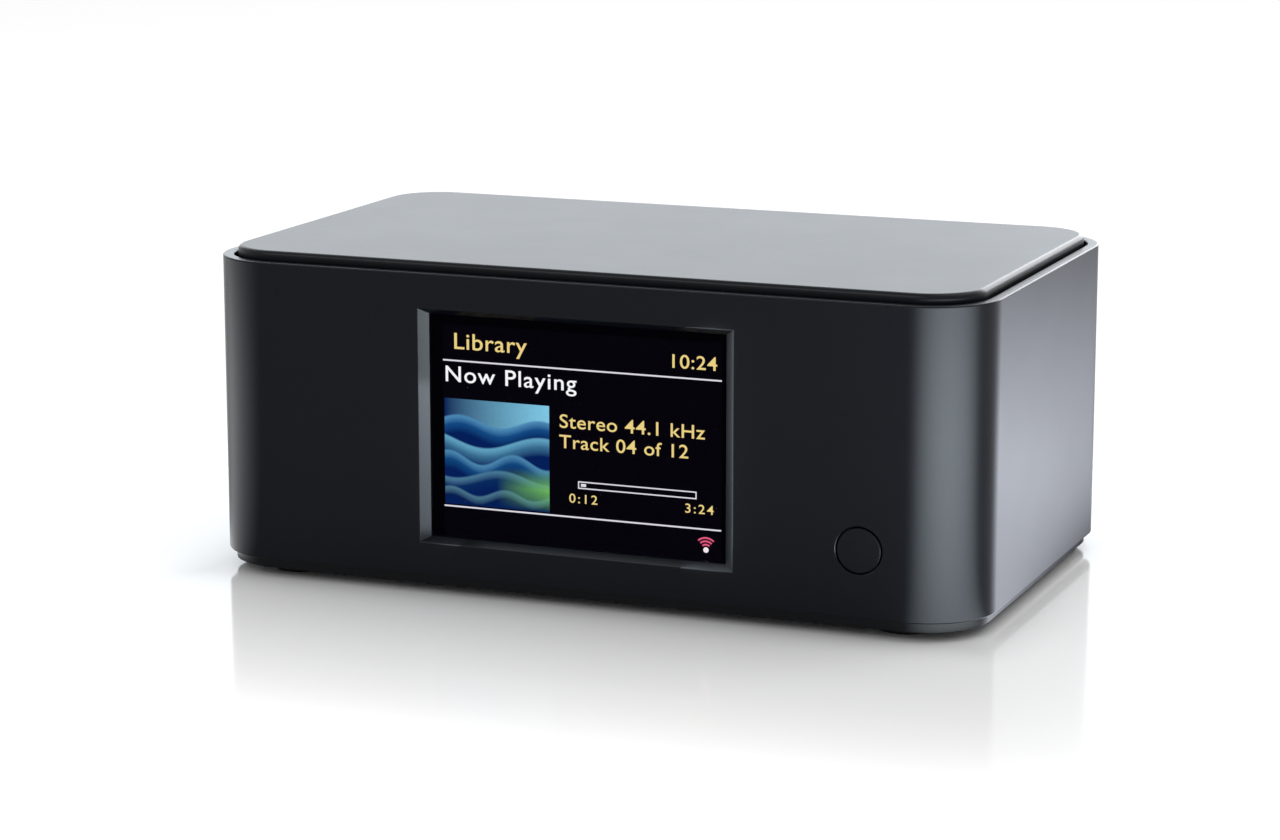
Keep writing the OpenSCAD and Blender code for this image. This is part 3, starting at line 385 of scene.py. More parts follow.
def sheet_glow(name, edge, brightness, colour, swell, fade):
    """Brightest along the middle line. swell is the share at the start and the metres to gain 1, and
    fade the distance at which the light ends and the metres that it fades over."""
    material, paint = new_finish(name)
    along, across = paint.axis("X"), paint.axis("Y")
    away = (along * along + across * across).root()
    middle = ((along / away - math.cos(edge)) / (1 - math.cos(edge))).limited()
    level = middle * (swell[0] + away / swell[1]).limited() * ((fade[0] - away) / fade[1]).limited()
    glow = {"Color": colour, "Strength": level * brightness}
    one_sided(paint, paint.add("ShaderNodeEmission", {}, glow))
    return material


def glowing_sheet(name, start, azimuth, edge, reach, *light):
    """A fan on the floor from a start point, in a direction given as the camera's azimuth is."""
    edge = math.radians(edge)
    sheet_bm = bmesh.new()
    rows = []
    for step in range(SHEET_STEPS + 1):
        turn = edge * (2 * step / SHEET_STEPS - 1)
        way = Vector((math.cos(turn), math.sin(turn), 0))
        rows.append([sheet_bm.verts.new(way * length) for length in reach])
    for low, high in zip(rows, rows[1:]):
        sheet_bm.faces.new((low[0], low[1], high[1], high[0]))
    sheet = stage_piece(name, sheet_bm, sheet_glow(name, edge, *light))
    sheet.location = (*start, SHEET_RISE)
    sheet.rotation_euler.z = math.radians(azimuth - 90)
    sheet.visible_camera = False
    sheet.visible_diffuse = False
    sheet.visible_transmission = False
    sheet.visible_shadow = False


for sheet_name, sheet_setting in SHEETS.items():
    glowing_sheet(sheet_name, *sheet_setting)
print("glowing sheets:", ", ".join(SHEETS))

# %% Stand the cards
CARD_COLOUR = (0.82, 0.93, 1.0)
CARDS = {
    # name: (middle in mm, size in mm, brightness, direction that it faces)
    "left_card": ((-26.7, -51.6, 25.5), (9.0, 30.0), 10.0, (-0.8, 0.6, 0)),
    "right_card": ((24.4, -50.8, 32.5), (8.0, 45.0), 6.5, (0.8, 0.6, 0)),
    "low_card": ((-1.0, -50.1, 19.5), (46.0, 7.0), 2.6, (0, 1, -1)),
}
for card_name, (place, size, brightness, facing) in CARDS.items():
    middle = Vector(place) * MM
    sides = [side * MM for side in size]
    hang_box(card_name, middle, sides, brightness, CARD_COLOUR, False, middle + Vector(facing))
print("cards:", ", ".join(CARDS))

# %% [markdown]
# ## Finishes of one colour
# Anodised metal, moulded plastic, rubber and plated steel differ in colour, gloss and grain, but they are
# built the same way: a colour that drifts a little over the piece, a gloss that drifts with it, and a
# fine grain that is cut into the surface as a bump. One function holds that build, and a table holds what
# differs.

# %% One-colour finishes
BROAD_SPOTS = 12 * MM
COLOUR_DRIFT = 0.05
BROAD_GLOSS = 0.03
FINE_GLOSS = 0.06


def even_finish(name, colour, roughness, grain, depth, fixed):
    """grain and depth in mm: the size of the grain's spots and how deep they are cut."""
    material, paint = new_finish(name)
    fine = paint.noise(grain * MM)
    broad = paint.noise(BROAD_SPOTS, detail=3.0)
    dark = scaled(colour, 1 - COLOUR_DRIFT)
    light = scaled(colour, 1 + COLOUR_DRIFT)
    paint.surface({
        "Base Color": paint.blend(broad, dark, light),
        "Roughness": roughness + (broad - 0.5) * BROAD_GLOSS + (fine - 0.5) * FINE_GLOSS,
        "Normal": paint.bump(fine, depth * MM),
        **fixed,
    })
    return material


LOW_GLOSS = {"Specular IOR Level": 0.12}
METAL = {"Metallic": 1.0}
EVEN_FINISHES = {
    # slot: (colour, roughness, grain mm, depth mm, fixed sockets)
    "anodised_black": (tone(6, 9, 17), 0.29, 0.4, 0.005, LOW_GLOSS),
    "cover_black": (tone(7, 10, 16), 0.34, 0.25, 0.002, LOW_GLOSS),
    "base_black": (tone(9, 11, 15), 0.32, 0.25, 0.003, LOW_GLOSS),
    "rubber_black": (tone(16, 16, 16), 0.75, 0.2, 0.01, {"Specular IOR Level": 0.25}),
    "screw_steel": (tone(176, 178, 180), 0.3, 0.1, 0.001, METAL),
    "screw_black": (tone(34, 34, 36), 0.4, 0.1, 0.002, {"Metallic": 0.6}),
    "gasket_foam": (tone(9, 9, 10), 0.9, 0.15, 0.02, {"Specular IOR Level": 0.1}),
    "backlight_white": (tone(232, 234, 230), 0.5, 0.3, 0.002, {}),
    "bracket_grey": (tone(92, 94, 97), 0.55, 0.25, 0.006, {}),
    "connector_ivory": (tone(222, 214, 190), 0.45, 0.2, 0.003, {}),
    "button_black": (tone(6, 9, 17), 0.3, 0.3, 0.002, LOW_GLOSS),
    "spring_steel": (tone(186, 188, 190), 0.25, 0.08, 0.001, METAL),
    "chip_black": (tone(30, 31, 33), 0.5, 0.1, 0.003, {}),
    "plunger_grey": (tone(120, 122, 125), 0.45, 0.2, 0.002, {}),
    "capacitor_can": (tone(188, 190, 194), 0.3, 0.2, 0.001, METAL),
    "coil_grey": (tone(84, 84, 86), 0.6, 0.25, 0.01, {}),
    "shield_steel": (tone(196, 197, 196), 0.28, 0.5, 0.002, METAL),
    "lead_black": (tone(26, 26, 27), 0.45, 0.3, 0.003, {}),
    "contact_gold": (tone(226, 184, 96), 0.22, 0.1, 0.001, METAL),
    "panel_black": (tone(24, 24, 26), 0.5, 0.22, 0.005, {"Specular IOR Level": 0.35}),
    "socket_black": (tone(22, 22, 24), 0.38, 0.3, 0.002, {}),
    "barrel_metal": (tone(205, 206, 208), 0.2, 0.3, 0.001, METAL),
    "insulator_white": (tone(232, 232, 228), 0.35, 0.3, 0.001, {}),
    "insulator_red": (tone(186, 24, 26), 0.35, 0.3, 0.001, {}),
    "insulator_orange": (tone(226, 112, 20), 0.35, 0.3, 0.001, {}),
    "shutter_grey": (tone(58, 59, 62), 0.45, 0.25, 0.003, {}),
    "pin_steel": (tone(198, 199, 201), 0.2, 0.2, 0.001, METAL),
}
finishes = {slot: even_finish(slot, *look) for slot, look in EVEN_FINISHES.items()}
print(len(finishes), "one-colour finishes")

# %% [markdown]
# ## Finishes with a pattern
# A circuit board shows copper runs under green lacquer, a flat ribbon its row of wires, and the red light
# in the optical socket glows. Each pattern is a few lines of sums on the place of the point, so it stays
# where it is when the model is moved to another program.

# %% Boards, ribbons and the red light
COPPER_RUNS = {"Scale": 150.0, "Distortion": 6.0, "Detail": 1.0, "Detail Scale": 0.4}
COPPER_EDGE = (0.72, 0.08)
COPPER_RISE = 0.02 * MM
RIBBON_PITCH = 1.0 * MM
RIBBON_EDGE = (0.2, 0.3)
RIBBON_RISE = 0.03 * MM
GLOW_SPOTS = 0.5 * MM


def board_finish(name, lacquer, copper):
    material, paint = new_finish(name)
    diagonal = {"bands_direction": "DIAGONAL"}
    runs = paint.add("ShaderNodeTexWave", diagonal, {"Vector": paint.place(), **COPPER_RUNS}, "Fac")
    track = runs.over(*COPPER_EDGE)
    paint.surface({
        "Base Color": paint.blend(track, lacquer, copper),
        "Roughness": 0.38 - track * 0.08,
        "Normal": paint.bump(track, COPPER_RISE),
    })
    return material


def ribbon_finish(name, film, wire):
    material, paint = new_finish(name)
    wave = (paint.axis("X") * (2 * math.pi / RIBBON_PITCH)).sine()
    line = wave.over(*RIBBON_EDGE)
    paint.surface({
        "Base Color": paint.blend(line, film, wire),
        "Roughness": 0.4 - line * 0.1,
        "Normal": paint.bump(line, RIBBON_RISE),
    })
    return material


def glow_finish(name, unlit, colour, brightest):
    material, paint = new_finish(name)
    core = paint.noise(GLOW_SPOTS)
    paint.surface({
        "Base Color": unlit,
        "Roughness": 0.2 + core * 0.1,
        "Emission Color": paint.blend(core, colour, brightest),
        "Emission Strength": 1.0,
    })
    return material


PATTERNED_FINISHES = {
    # slot: (how it is made, its colours)
    "board_green": (board_finish, tone(14, 58, 38), tone(34, 98, 60)),
    "antenna_board": (board_finish, tone(24, 26, 28), tone(120, 84, 44)),
    "ribbon_amber": (ribbon_finish, tone(150, 92, 30), tone(196, 140, 62)),
    "ribbon_white": (ribbon_finish, tone(228, 228, 224), tone(176, 178, 180)),
    "emitter_red": (glow_finish, (0.1, 0.005, 0.005, 1), tone(220, 20, 24), tone(255, 90, 70)),
}
for slot, (make, *colours) in PATTERNED_FINISHES.items():
    finishes[slot] = make(slot, *colours)
print("patterned finishes added,", len(finishes), "in all")

# %% [markdown]
# ## From a bmesh to a piece
# A mesh becomes a piece of the part when it has a name, a finish, smooth shading with true sharp edges,
# and a body that it rides on. Weighted normals keep the large flat faces flat right up to their small
# rounded edges, which is what makes a machined edge read as one clean line of light.

# %% Piece maker
SHARP_EDGE = math.radians(35)


def add_piece(name, bm, finish, body="case", stands_for=(), slot=None):
    for face in bm.faces:
        face.smooth = True
    for edge in bm.edges:
        edge.smooth = not (edge.is_manifold and edge.calc_face_angle(0) > SHARP_EDGE)
    mesh = bpy.data.meshes.new(name)
    bm.to_mesh(mesh)
    bm.free()
    mesh.materials.append(finish)
    piece = bpy.data.objects.new(name, mesh)
    studio.collection.objects.link(piece)
    even = piece.modifiers.new("even_normals", "WEIGHTED_NORMAL")
    even.keep_sharp = True
    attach(piece, body)
    if stands_for:
        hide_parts(*stands_for)
        slot = slot or slot_of[stands_for[0]]
    print(name, "has", len(mesh.polygons), "faces")
    return piece


print("piece maker ready")

# %% [markdown]
# ## Basic shapes
# Nearly every piece of this box starts as a block with some edges rounded, or as an outline turned on a
# lathe. The block takes its two corners from the solids and rounds the edges that run along one axis. The
# lathe spins a closed outline of radius and height, merges the seam, and turns the faces outwards.

# %% Block, lathe and saw
# An edge or a face goes with an axis when at least this share of its direction does.
ALONG_AXIS = 0.999
FACES_AXIS = 0.9
# Two faces that turn by more than this, in radians, meet at a square edge.
SQUARE_EDGE = 1.0
WELD = 0.0005 * MM


def runs_along(edge, axis):
    """Whether an edge runs along the axis 0, 1 or 2."""
    direction = (edge.verts[1].co - edge.verts[0].co).normalized()
    return abs(direction[axis]) > ALONG_AXIS


def square_edges(bm):
    """The edges at which two faces meet at about a right angle."""
    return [edge for edge in bm.edges if edge.is_manifold and edge.calc_face_angle() > SQUARE_EDGE]


def new_points(result):
    """The points that an extrusion made."""
    return [item for item in result["geom"] if isinstance(item, bmesh.types.BMVert)]


def round_edges(bm, edges, radius, steps, clamped=False):
    bmesh.ops.bevel(
        bm, geom=edges, offset=radius, offset_type="OFFSET", segments=steps, profile=0.5,
        affect="EDGES", clamp_overlap=clamped, material=-1,
    )


def block(low, high, corner=0.0, axis=2, steps=24):
    """A block between two corners, its edges along one axis rounded."""
    bm = bmesh.new()
    bmesh.ops.create_cube(bm, size=1)
    bmesh.ops.scale(bm, vec=Vector(high) - Vector(low), verts=bm.verts)
    bmesh.ops.translate(bm, vec=(Vector(high) + Vector(low)) / 2, verts=bm.verts)
    if corner:
        round_edges(bm, [edge for edge in bm.edges if runs_along(edge, axis)], corner, steps)
    return bm


def turned(outline, centre, axis="Z", steps=64):
    """A closed outline of (radius, height) in metres, turned about an axis through the centre."""
    bm = bmesh.new()
    points = [bm.verts.new((radius, 0, height)) for radius, height in outline]
    lines = [bm.edges.new(pair) for pair in zip(points, points[1:] + points[:1])]
    bmesh.ops.spin(
        bm, geom=points + lines, cent=(0, 0, 0), axis=(0, 0, 1), angle=2 * math.pi, steps=steps,
        use_merge=True, use_duplicate=False,
    )
    bmesh.ops.remove_doubles(bm, verts=bm.verts, dist=WELD)
    bmesh.ops.dissolve_degenerate(bm, edges=bm.edges, dist=WELD)
    bmesh.ops.recalc_face_normals(bm, faces=bm.faces)
    if axis == "Y":
        lying = Matrix.Rotation(-math.pi / 2, 3, "X")
        bmesh.ops.rotate(bm, cent=(0, 0, 0), matrix=lying, verts=bm.verts)
    bmesh.ops.translate(bm, vec=centre, verts=bm.verts)
    return bm


def joined(*shapes):
    """Several meshes as one."""
    whole_bm = bmesh.new()
    for shape in shapes:
        part = bpy.data.meshes.new("part")
        shape.to_mesh(part)
        shape.free()
        whole_bm.from_mesh(part)
        bpy.data.meshes.remove(part)
    return whole_bm


def loose_object(bm):
    mesh = bpy.data.meshes.new("loose")
    bm.to_mesh(mesh)
    bm.free()
    item = bpy.data.objects.new("loose", mesh)
    studio.collection.objects.link(item)
    return item


def sawn(bm, tool, operation="DIFFERENCE"):
    """The mesh with a tool's shape cut from it, joined to it, or kept of it."""
    stock, cutter = loose_object(bm), loose_object(tool)
    cut = stock.modifiers.new("cut", "BOOLEAN")
    cut.object, cut.operation, cut.solver = cutter, operation, "EXACT"
    graph = bpy.context.evaluated_depsgraph_get()
    result = bmesh.new()
    result.from_mesh(stock.evaluated_get(graph).to_mesh())
    for item in (stock, cutter):
        mesh = item.data
        bpy.data.objects.remove(item)
        bpy.data.meshes.remove(mesh)
    return result


print("shapes ready")

# %% [markdown]
# ## The sleeve
# The outer wall is one piece of extruded aluminium, cut to length, with large round upright corners. Like
# the real one it starts as a block with rounded corners whose ends are inset by the wall and bridged
# through, so the wall has one thickness all round. The two rims get a small rounded edge, and the inner
# corner webs are joined on. The window, the button hole and the rear cut-out are milled last. The cutters
# of the window and of the hole carry their bevels with them.

# %% Sleeve wall
SLEEVE_CORNER = 14 * MM
SLEEVE_WALL = 2.2 * MM
RIM_ROUND = 0.3 * MM
LEVEL = 0.001 * MM

sleeve_low, sleeve_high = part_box("sleeve")
sleeve_bm = block(sleeve_low, sleeve_high, SLEEVE_CORNER)
ends = [face for face in sleeve_bm.faces if abs(face.normal.z) > FACES_AXIS]
bmesh.ops.inset_region(
    sleeve_bm, faces=ends, thickness=SLEEVE_WALL, use_even_offset=True, use_boundary=True,
)
bmesh.ops.delete(sleeve_bm, geom=ends, context="FACES")
bmesh.ops.bridge_loops(sleeve_bm, edges=[edge for edge in sleeve_bm.edges if edge.is_boundary])
bmesh.ops.recalc_face_normals(sleeve_bm, faces=sleeve_bm.faces)
rims = [
    edge for edge in square_edges(sleeve_bm)
    if abs(edge.verts[0].co.z - edge.verts[1].co.z) < LEVEL
]
round_edges(sleeve_bm, rims, RIM_ROUND, 3)
print("sleeve wall", SLEEVE_WALL / MM, "mm,", len(rims), "rim edges rounded")

# %% Inner corner webs
WEB_RADIUS = 8.5 * MM
WEB_SINK = 1.1 * MM
WEB_Z = (6.2 * MM, 60.0 * MM)
inner_x = sleeve_high.x - SLEEVE_WALL
inner_y = sleeve_high.y - SLEEVE_WALL

web_outline = [(0, WEB_Z[0]), (WEB_RADIUS, WEB_Z[0]), (WEB_RADIUS, WEB_Z[1]), (0, WEB_Z[1])]
web_posts = joined(*(
    turned(web_outline, (x, y, 0), steps=48) for x in (-inner_x, inner_x) for y in (-inner_y, inner_y)
))
web_room = block(
    (-inner_x - WEB_SINK, -inner_y - WEB_SINK, 0),
    (inner_x + WEB_SINK, inner_y + WEB_SINK, sleeve_high.z),
    SLEEVE_CORNER - SLEEVE_WALL + WEB_SINK,
)
sleeve_bm = sawn(sleeve_bm, sawn(web_posts, web_room, "INTERSECT"), "UNION")
print("webs rise to", WEB_Z[1] / MM, "mm")

# %% Window cutter
WINDOW_W = 61.0 * MM
WINDOW_Z = (11.3 * MM, 55.2 * MM)
BEVEL_DEPTH = 1.5 * MM
BEVEL_RUN_X = 2.0 * MM
BEVEL_RUN_Z = 1.2 * MM
CUTTER_REACH = 1.0 * MM

front_y = sleeve_low.y
window_h = WINDOW_Z[1] - WINDOW_Z[0]
window_mid = (WINDOW_Z[0] + WINDOW_Z[1]) / 2
window_bm = block(
    (-WINDOW_W / 2, front_y + BEVEL_DEPTH, WINDOW_Z[0]),
    (WINDOW_W / 2, front_y + SLEEVE_WALL + CUTTER_REACH, WINDOW_Z[1]),
)
mouth = [face for face in window_bm.faces if face.normal.y < -FACES_AXIS]
flared = new_points(bmesh.ops.extrude_face_region(window_bm, geom=mouth))
bmesh.ops.delete(window_bm, geom=mouth, context="FACES")
flare = (BEVEL_DEPTH + CUTTER_REACH) / BEVEL_DEPTH
widen = Vector((1 + 2 * BEVEL_RUN_X * flare / WINDOW_W, 1, 1 + 2 * BEVEL_RUN_Z * flare / window_h))
about_middle = Matrix.Translation((0, 0, -window_mid))
bmesh.ops.translate(window_bm, vec=(0, -BEVEL_DEPTH - CUTTER_REACH, 0), verts=flared)
bmesh.ops.scale(window_bm, vec=widen, space=about_middle, verts=flared)
bmesh.ops.recalc_face_normals(window_bm, faces=window_bm.faces)
print("window", WINDOW_W / MM, "mm wide inside its bevel")

# %% Button hole cutter
BUTTON_X = 57.4 * MM
BUTTON_Z = 16.6 * MM
HOLE_RADIUS = 4.6 * MM
HOLE_BREAK = 0.12 * MM

hole_bm = turned([
    (0, -CUTTER_REACH),
    (HOLE_RADIUS + HOLE_BREAK + CUTTER_REACH, -CUTTER_REACH),
    (HOLE_RADIUS, HOLE_BREAK),
    (HOLE_RADIUS, SLEEVE_WALL + CUTTER_REACH),
    (0, SLEEVE_WALL + CUTTER_REACH),
], (BUTTON_X, front_y, BUTTON_Z), "Y", 96)
print("button hole", 2 * HOLE_RADIUS / MM, "mm across")

# %% Rear cut-out cutter
BAY_W = 115.0 * MM
BAY_Z = (9.5 * MM, 38.0 * MM)
BAY_CORNER = 3.0 * MM

rear_y = sleeve_high.y
bay_bm = block(
    (-BAY_W / 2, rear_y - SLEEVE_WALL - CUTTER_REACH, BAY_Z[0]),
    (BAY_W / 2, rear_y + CUTTER_REACH, BAY_Z[1]),
    BAY_CORNER, axis=1, steps=10,
)
sleeve_bm = sawn(sleeve_bm, joined(window_bm, hole_bm, bay_bm))
print("rear cut-out", BAY_W / MM, "mm wide")

# %% Break the window's edges
WINDOW_BREAK = 0.2 * MM
WINDOW_MARGIN = 0.2 * MM
# The bevel's edges turn by more than this, in radians.
BENT_EDGE = 0.3


def on_window_bevel(edge):
    """Whether an edge bounds the sloping faces of the window from outside."""
    middle = (edge.verts[0].co + edge.verts[1].co) / 2
    in_front = middle.y < front_y + BEVEL_DEPTH + WINDOW_MARGIN
    across = abs(middle.x) < WINDOW_W / 2 + BEVEL_RUN_X + WINDOW_MARGIN
    upright = abs(middle.z - window_mid) < window_h / 2 + BEVEL_RUN_Z + WINDOW_MARGIN
    outward = edge.is_manifold and edge.is_convex and edge.calc_face_angle() > BENT_EDGE
    return in_front and across and upright and outward


window_edges = [edge for edge in sleeve_bm.edges if on_window_bevel(edge)]
round_edges(sleeve_bm, window_edges, WINDOW_BREAK, 2)
print(len(window_edges), "window edges broken")
add_piece("sleeve_wall", sleeve_bm, finishes["anodised_black"], stands_for=["sleeve"])

# %% [markdown]
# ## The top cover
# The cover is a shallow satin lid that drops into the sleeve and leaves a dark gap of less than a
# millimetre all round. It starts as the same kind of rounded block, gets a full round along its top edge,
# is hollowed from below by an inset and a push, and has four towers that reach down to the screws in the
# base.

# %% Cover
COVER_CORNER = 11 * MM
COVER_SKIRT_Z = 60.0 * MM
COVER_EDGE = 1.1 * MM
COVER_SKIRT = 2.0 * MM
COVER_UNDER = 62.6 * MM
TOWER_X = 69.5 * MM
TOWER_Y = 26.0 * MM
TOWER_RADIUS = 3.75 * MM
TOWER_BORE = 1.25 * MM
TOWER_BORE_DEPTH = 9.0 * MM

cover_low, cover_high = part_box("top_cover")
cover_bm = block((cover_low.x, cover_low.y, COVER_SKIRT_Z), cover_high, COVER_CORNER)
top_ring = [edge for face in cover_bm.faces if face.normal.z > FACES_AXIS for edge in face.edges]
round_edges(cover_bm, top_ring, COVER_EDGE, 8)
under = [face for face in cover_bm.faces if face.normal.z < -FACES_AXIS]
bmesh.ops.inset_region(
    cover_bm, faces=under, thickness=COVER_SKIRT, use_even_offset=True, use_boundary=True,
)
hollow = new_points(bmesh.ops.extrude_face_region(cover_bm, geom=under))
bmesh.ops.translate(cover_bm, vec=(0, 0, COVER_UNDER - COVER_SKIRT_Z), verts=hollow)
bmesh.ops.delete(cover_bm, geom=under, context="FACES")
bmesh.ops.recalc_face_normals(cover_bm, faces=cover_bm.faces)

tower_outline = [
    (TOWER_BORE, cover_low.z),
    (TOWER_RADIUS, cover_low.z),
    (TOWER_RADIUS, COVER_UNDER + COVER_EDGE),
    (0, COVER_UNDER + COVER_EDGE),
    (0, cover_low.z + TOWER_BORE_DEPTH),
    (TOWER_BORE, cover_low.z + TOWER_BORE_DEPTH),
]
towers = joined(*(
    turned(tower_outline, (x, y, 0), steps=32) for x in (-TOWER_X, TOWER_X) for y in (-TOWER_Y, TOWER_Y)
))
cover_bm = sawn(cover_bm, towers, "UNION")
add_piece("top_cover_lid", cover_bm, finishes["cover_black"], stands_for=["top_cover"])

# %% [markdown]
# ## The feet
# Four soft rubber discs keep the box off the table. Each is turned with a rounded lower edge and a
# shallow dish in its sole, so that it stands on a ring and grips.

# %% Feet
FOOT_X = 63.5 * MM
FOOT_Y = 37.0 * MM
FOOT_EDGE = [
    # distance in from the rim and height, in mm
    (2.2, 0.25), (1.9, 0), (0.7, 0), (0.35, 0.1), (0.1, 0.35), (0, 0.7),
]
feet_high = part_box("rubber_feet")[1]
foot_radius = feet_high.x - FOOT_X
foot_outline = [
    (0, FOOT_EDGE[0][1] * MM),
    *((foot_radius - inset * MM, height * MM) for inset, height in FOOT_EDGE),
    (foot_radius, feet_high.z),
    (0, feet_high.z),
]
feet_bm = joined(*(
    turned(foot_outline, (x, y, 0), steps=48) for x in (-FOOT_X, FOOT_X) for y in (-FOOT_Y, FOOT_Y)
))
add_piece("feet_soft", feet_bm, finishes["rubber_black"], stands_for=["rubber_feet"])

# %% [markdown]
# ## The button
# One flush round button sits low on the right of the front, in the same black finish. It is turned in one
# piece with the flange that keeps it in and the stem that pushes the switch. Its spring is a real coil: a
# small circle of wire is spun round the axis while it climbs.

# %% Button
CAP_RADIUS = 4.3 * MM
CAP_EDGE = 0.18 * MM
FLANGE_RADIUS = 6.0 * MM
FLANGE_Y = (-45.2 * MM, -44.2 * MM)
STEM_RADIUS = 1.6 * MM
button_low, button_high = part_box("power_button")
button_bm = turned([
    (0, button_low.y),
    (CAP_RADIUS - 2 * CAP_EDGE, button_low.y),
    (CAP_RADIUS - 0.6 * CAP_EDGE, button_low.y + 0.3 * CAP_EDGE),
    (CAP_RADIUS, button_low.y + CAP_EDGE),
    (CAP_RADIUS, FLANGE_Y[0]),
    (FLANGE_RADIUS, FLANGE_Y[0]),
    (FLANGE_RADIUS, FLANGE_Y[1]),
    (STEM_RADIUS, FLANGE_Y[1]),
    (STEM_RADIUS, button_high.y - CAP_EDGE),
    (STEM_RADIUS - CAP_EDGE, button_high.y),
    (0, button_high.y),
], (BUTTON_X, 0, BUTTON_Z), "Y", 96)
add_piece("power_button_cap", button_bm, finishes["button_black"], "power_button", ["power_button"])

# %% Button spring
WIRE = 0.4 * MM
WIRE_SIDES = 10
COIL_TURNS = 4
TURN_STEPS = 28
spring_low, spring_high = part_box("button_spring")
spring_length = spring_high.y - spring_low.y
coil_radius = (spring_high.x - spring_low.x - WIRE) / 2
coil_climb = spring_length - WIRE
coil_steps = COIL_TURNS * TURN_STEPS
spring_bm = bmesh.new()
wire_end = bmesh.ops.create_circle(spring_bm, radius=WIRE / 2, segments=WIRE_SIDES)["verts"]
bmesh.ops.translate(spring_bm, vec=(coil_radius, 0, 0), verts=wire_end)
bmesh.ops.spin(
    spring_bm, geom=spring_bm.verts[:] + spring_bm.edges[:], cent=(0, 0, 0), axis=(0, 1, 0),
    dvec=(0, coil_climb / coil_steps, 0), angle=2 * math.pi * COIL_TURNS, steps=coil_steps,
    use_duplicate=False,
)
wire_rims = [edge for edge in spring_bm.edges if edge.is_boundary]
bmesh.ops.holes_fill(spring_bm, edges=wire_rims, sides=0)
bmesh.ops.recalc_face_normals(spring_bm, faces=spring_bm.faces)
seat = (BUTTON_X, spring_low.y + WIRE / 2, BUTTON_Z)
bmesh.ops.translate(spring_bm, vec=seat, verts=spring_bm.verts)
spring = add_piece(
    "button_spring_coil", spring_bm, finishes["spring_steel"], stands_for=["button_spring"],
)
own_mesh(spring)

# %% [markdown]
# ## The lens
# A clear sheet closes the window from behind. It is coated against reflections, which is why the screen
# stays black in the photograph although the room is white. So the glass is fully clear, with a very weak
# mirror.

# %% Lens
HAZE_SPOTS = 3 * MM
HAZE = 0.02
COATED_INDEX = 1.005
LENS_CORNER = 1.0 * MM
LENS_BREAK = 0.12 * MM


def lens_finish():
    material, paint = new_finish("lens_clear")
    paint.surface({
        "Base Color": (1, 1, 1, 1),
        "Roughness": paint.noise(HAZE_SPOTS) * HAZE,
        "Transmission Weight": 1.0,
        "IOR": COATED_INDEX,
    })
    return material


lens_bm = block(*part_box("display_lens"), corner=LENS_CORNER, axis=1, steps=6)
round_edges(lens_bm, square_edges(lens_bm), LENS_BREAK, 2)
add_piece("display_lens_sheet", lens_bm, lens_finish(), stands_for=["display_lens"])

# %% [markdown]
# ## The screen
# Behind the lens lies a colour screen. Its lit area is a little smaller than the glass: a thin black
# border shows above and to the left, and the unlit picture glows very dark blue. The picture itself could
# be an image, but a pattern that is worked out stays sharp at any size and is the builder's own.

# %% Screen cell
PICTURE_W = 57.6 * MM
PICTURE_H = 43.2 * MM
PICTURE_MID_Z = 31.4 * MM
PICTURE_SOFT = 0.1 * MM
LENS_AIR = 0.1 * MM
CELL_CORNER = 0.8 * MM
CELL_BREAK = 0.08 * MM


def screen_finish():
    material, paint = new_finish("screen_cell")
    inside_x = 1 - paint.axis("X").size().over(PICTURE_W / 2, PICTURE_SOFT)
    inside_z = 1 - (paint.axis("Z") - PICTURE_MID_Z).size().over(PICTURE_H / 2, PICTURE_SOFT)
    lit = inside_x * inside_z
    paint.surface({
        "Base Color": paint.blend(lit, tone(1, 1, 2), tone(1, 1, 1)),
        "Roughness": 0.35 - lit * 0.05,
        "Specular IOR Level": 0.0,
        "Emission Color": paint.blend(lit, tone(2, 2, 4), tone(6, 4, 11)),
        "Emission Strength": 1.0,
    })
    return material


cell_low, cell_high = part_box("lcd_panel")
cell_low.y += LENS_AIR
cell_bm = block(cell_low, cell_high, CELL_CORNER, axis=1, steps=4)
round_edges(cell_bm, square_edges(cell_bm), CELL_BREAK, 2)
add_piece("screen_cell", cell_bm, screen_finish(), stands_for=["lcd_panel"])

# %% [markdown]
# ## What the screen shows
# The picture has two pale rules, a heading and a clock, a line of white words, a square of cover art, two
# lines about the track, a bar that fills as it plays, and a signal mark. Each colour is one thin mesh
# that lies on the cell, so it keeps crisp edges. The words are set in the built-in typeface, made a mesh,
# and only then put in their place.

# %% Lettering
INK = 0.02 * MM
CAP_SHARE = 0.729
LETTER_WIDTH = 1.13
PIXEL = 0.18 * MM
ROW_DIM = 0.86
SCREEN_SLOT = slot_of["lcd_panel"]
screen_y = cell_low.y - INK / 2
FACING_FRONT = Matrix.Rotation(math.pi / 2, 4, "X")
FACING_BACK = Matrix.Rotation(math.pi, 4, "Z") @ FACING_FRONT


def lettering(text, cap, place, align, weight, spread=1.0, facing=FACING_FRONT):
    """Words whose capitals are cap high, as a thin mesh that starts, ends or is centred at a place."""
    curve = bpy.data.curves.new("words", "FONT")
    curve.body = text
    curve.align_x = align
    curve.offset = weight * cap
    curve.space_character = spread
    curve.extrude = INK / 2
    curve.size = cap / CAP_SHARE
    holder = bpy.data.objects.new("words", curve)
    studio.collection.objects.link(holder)
    graph = bpy.context.evaluated_depsgraph_get()
    mesh = bpy.data.meshes.new_from_object(holder.evaluated_get(graph))
    widened = Matrix.Diagonal((LETTER_WIDTH, 1, 1, 1))
    mesh.transform(Matrix.Translation(place) @ facing @ widened)
    bm = bmesh.new()
    bm.from_mesh(mesh)
    bpy.data.objects.remove(holder)
    bpy.data.curves.remove(curve)
    bpy.data.meshes.remove(mesh)
    return bm


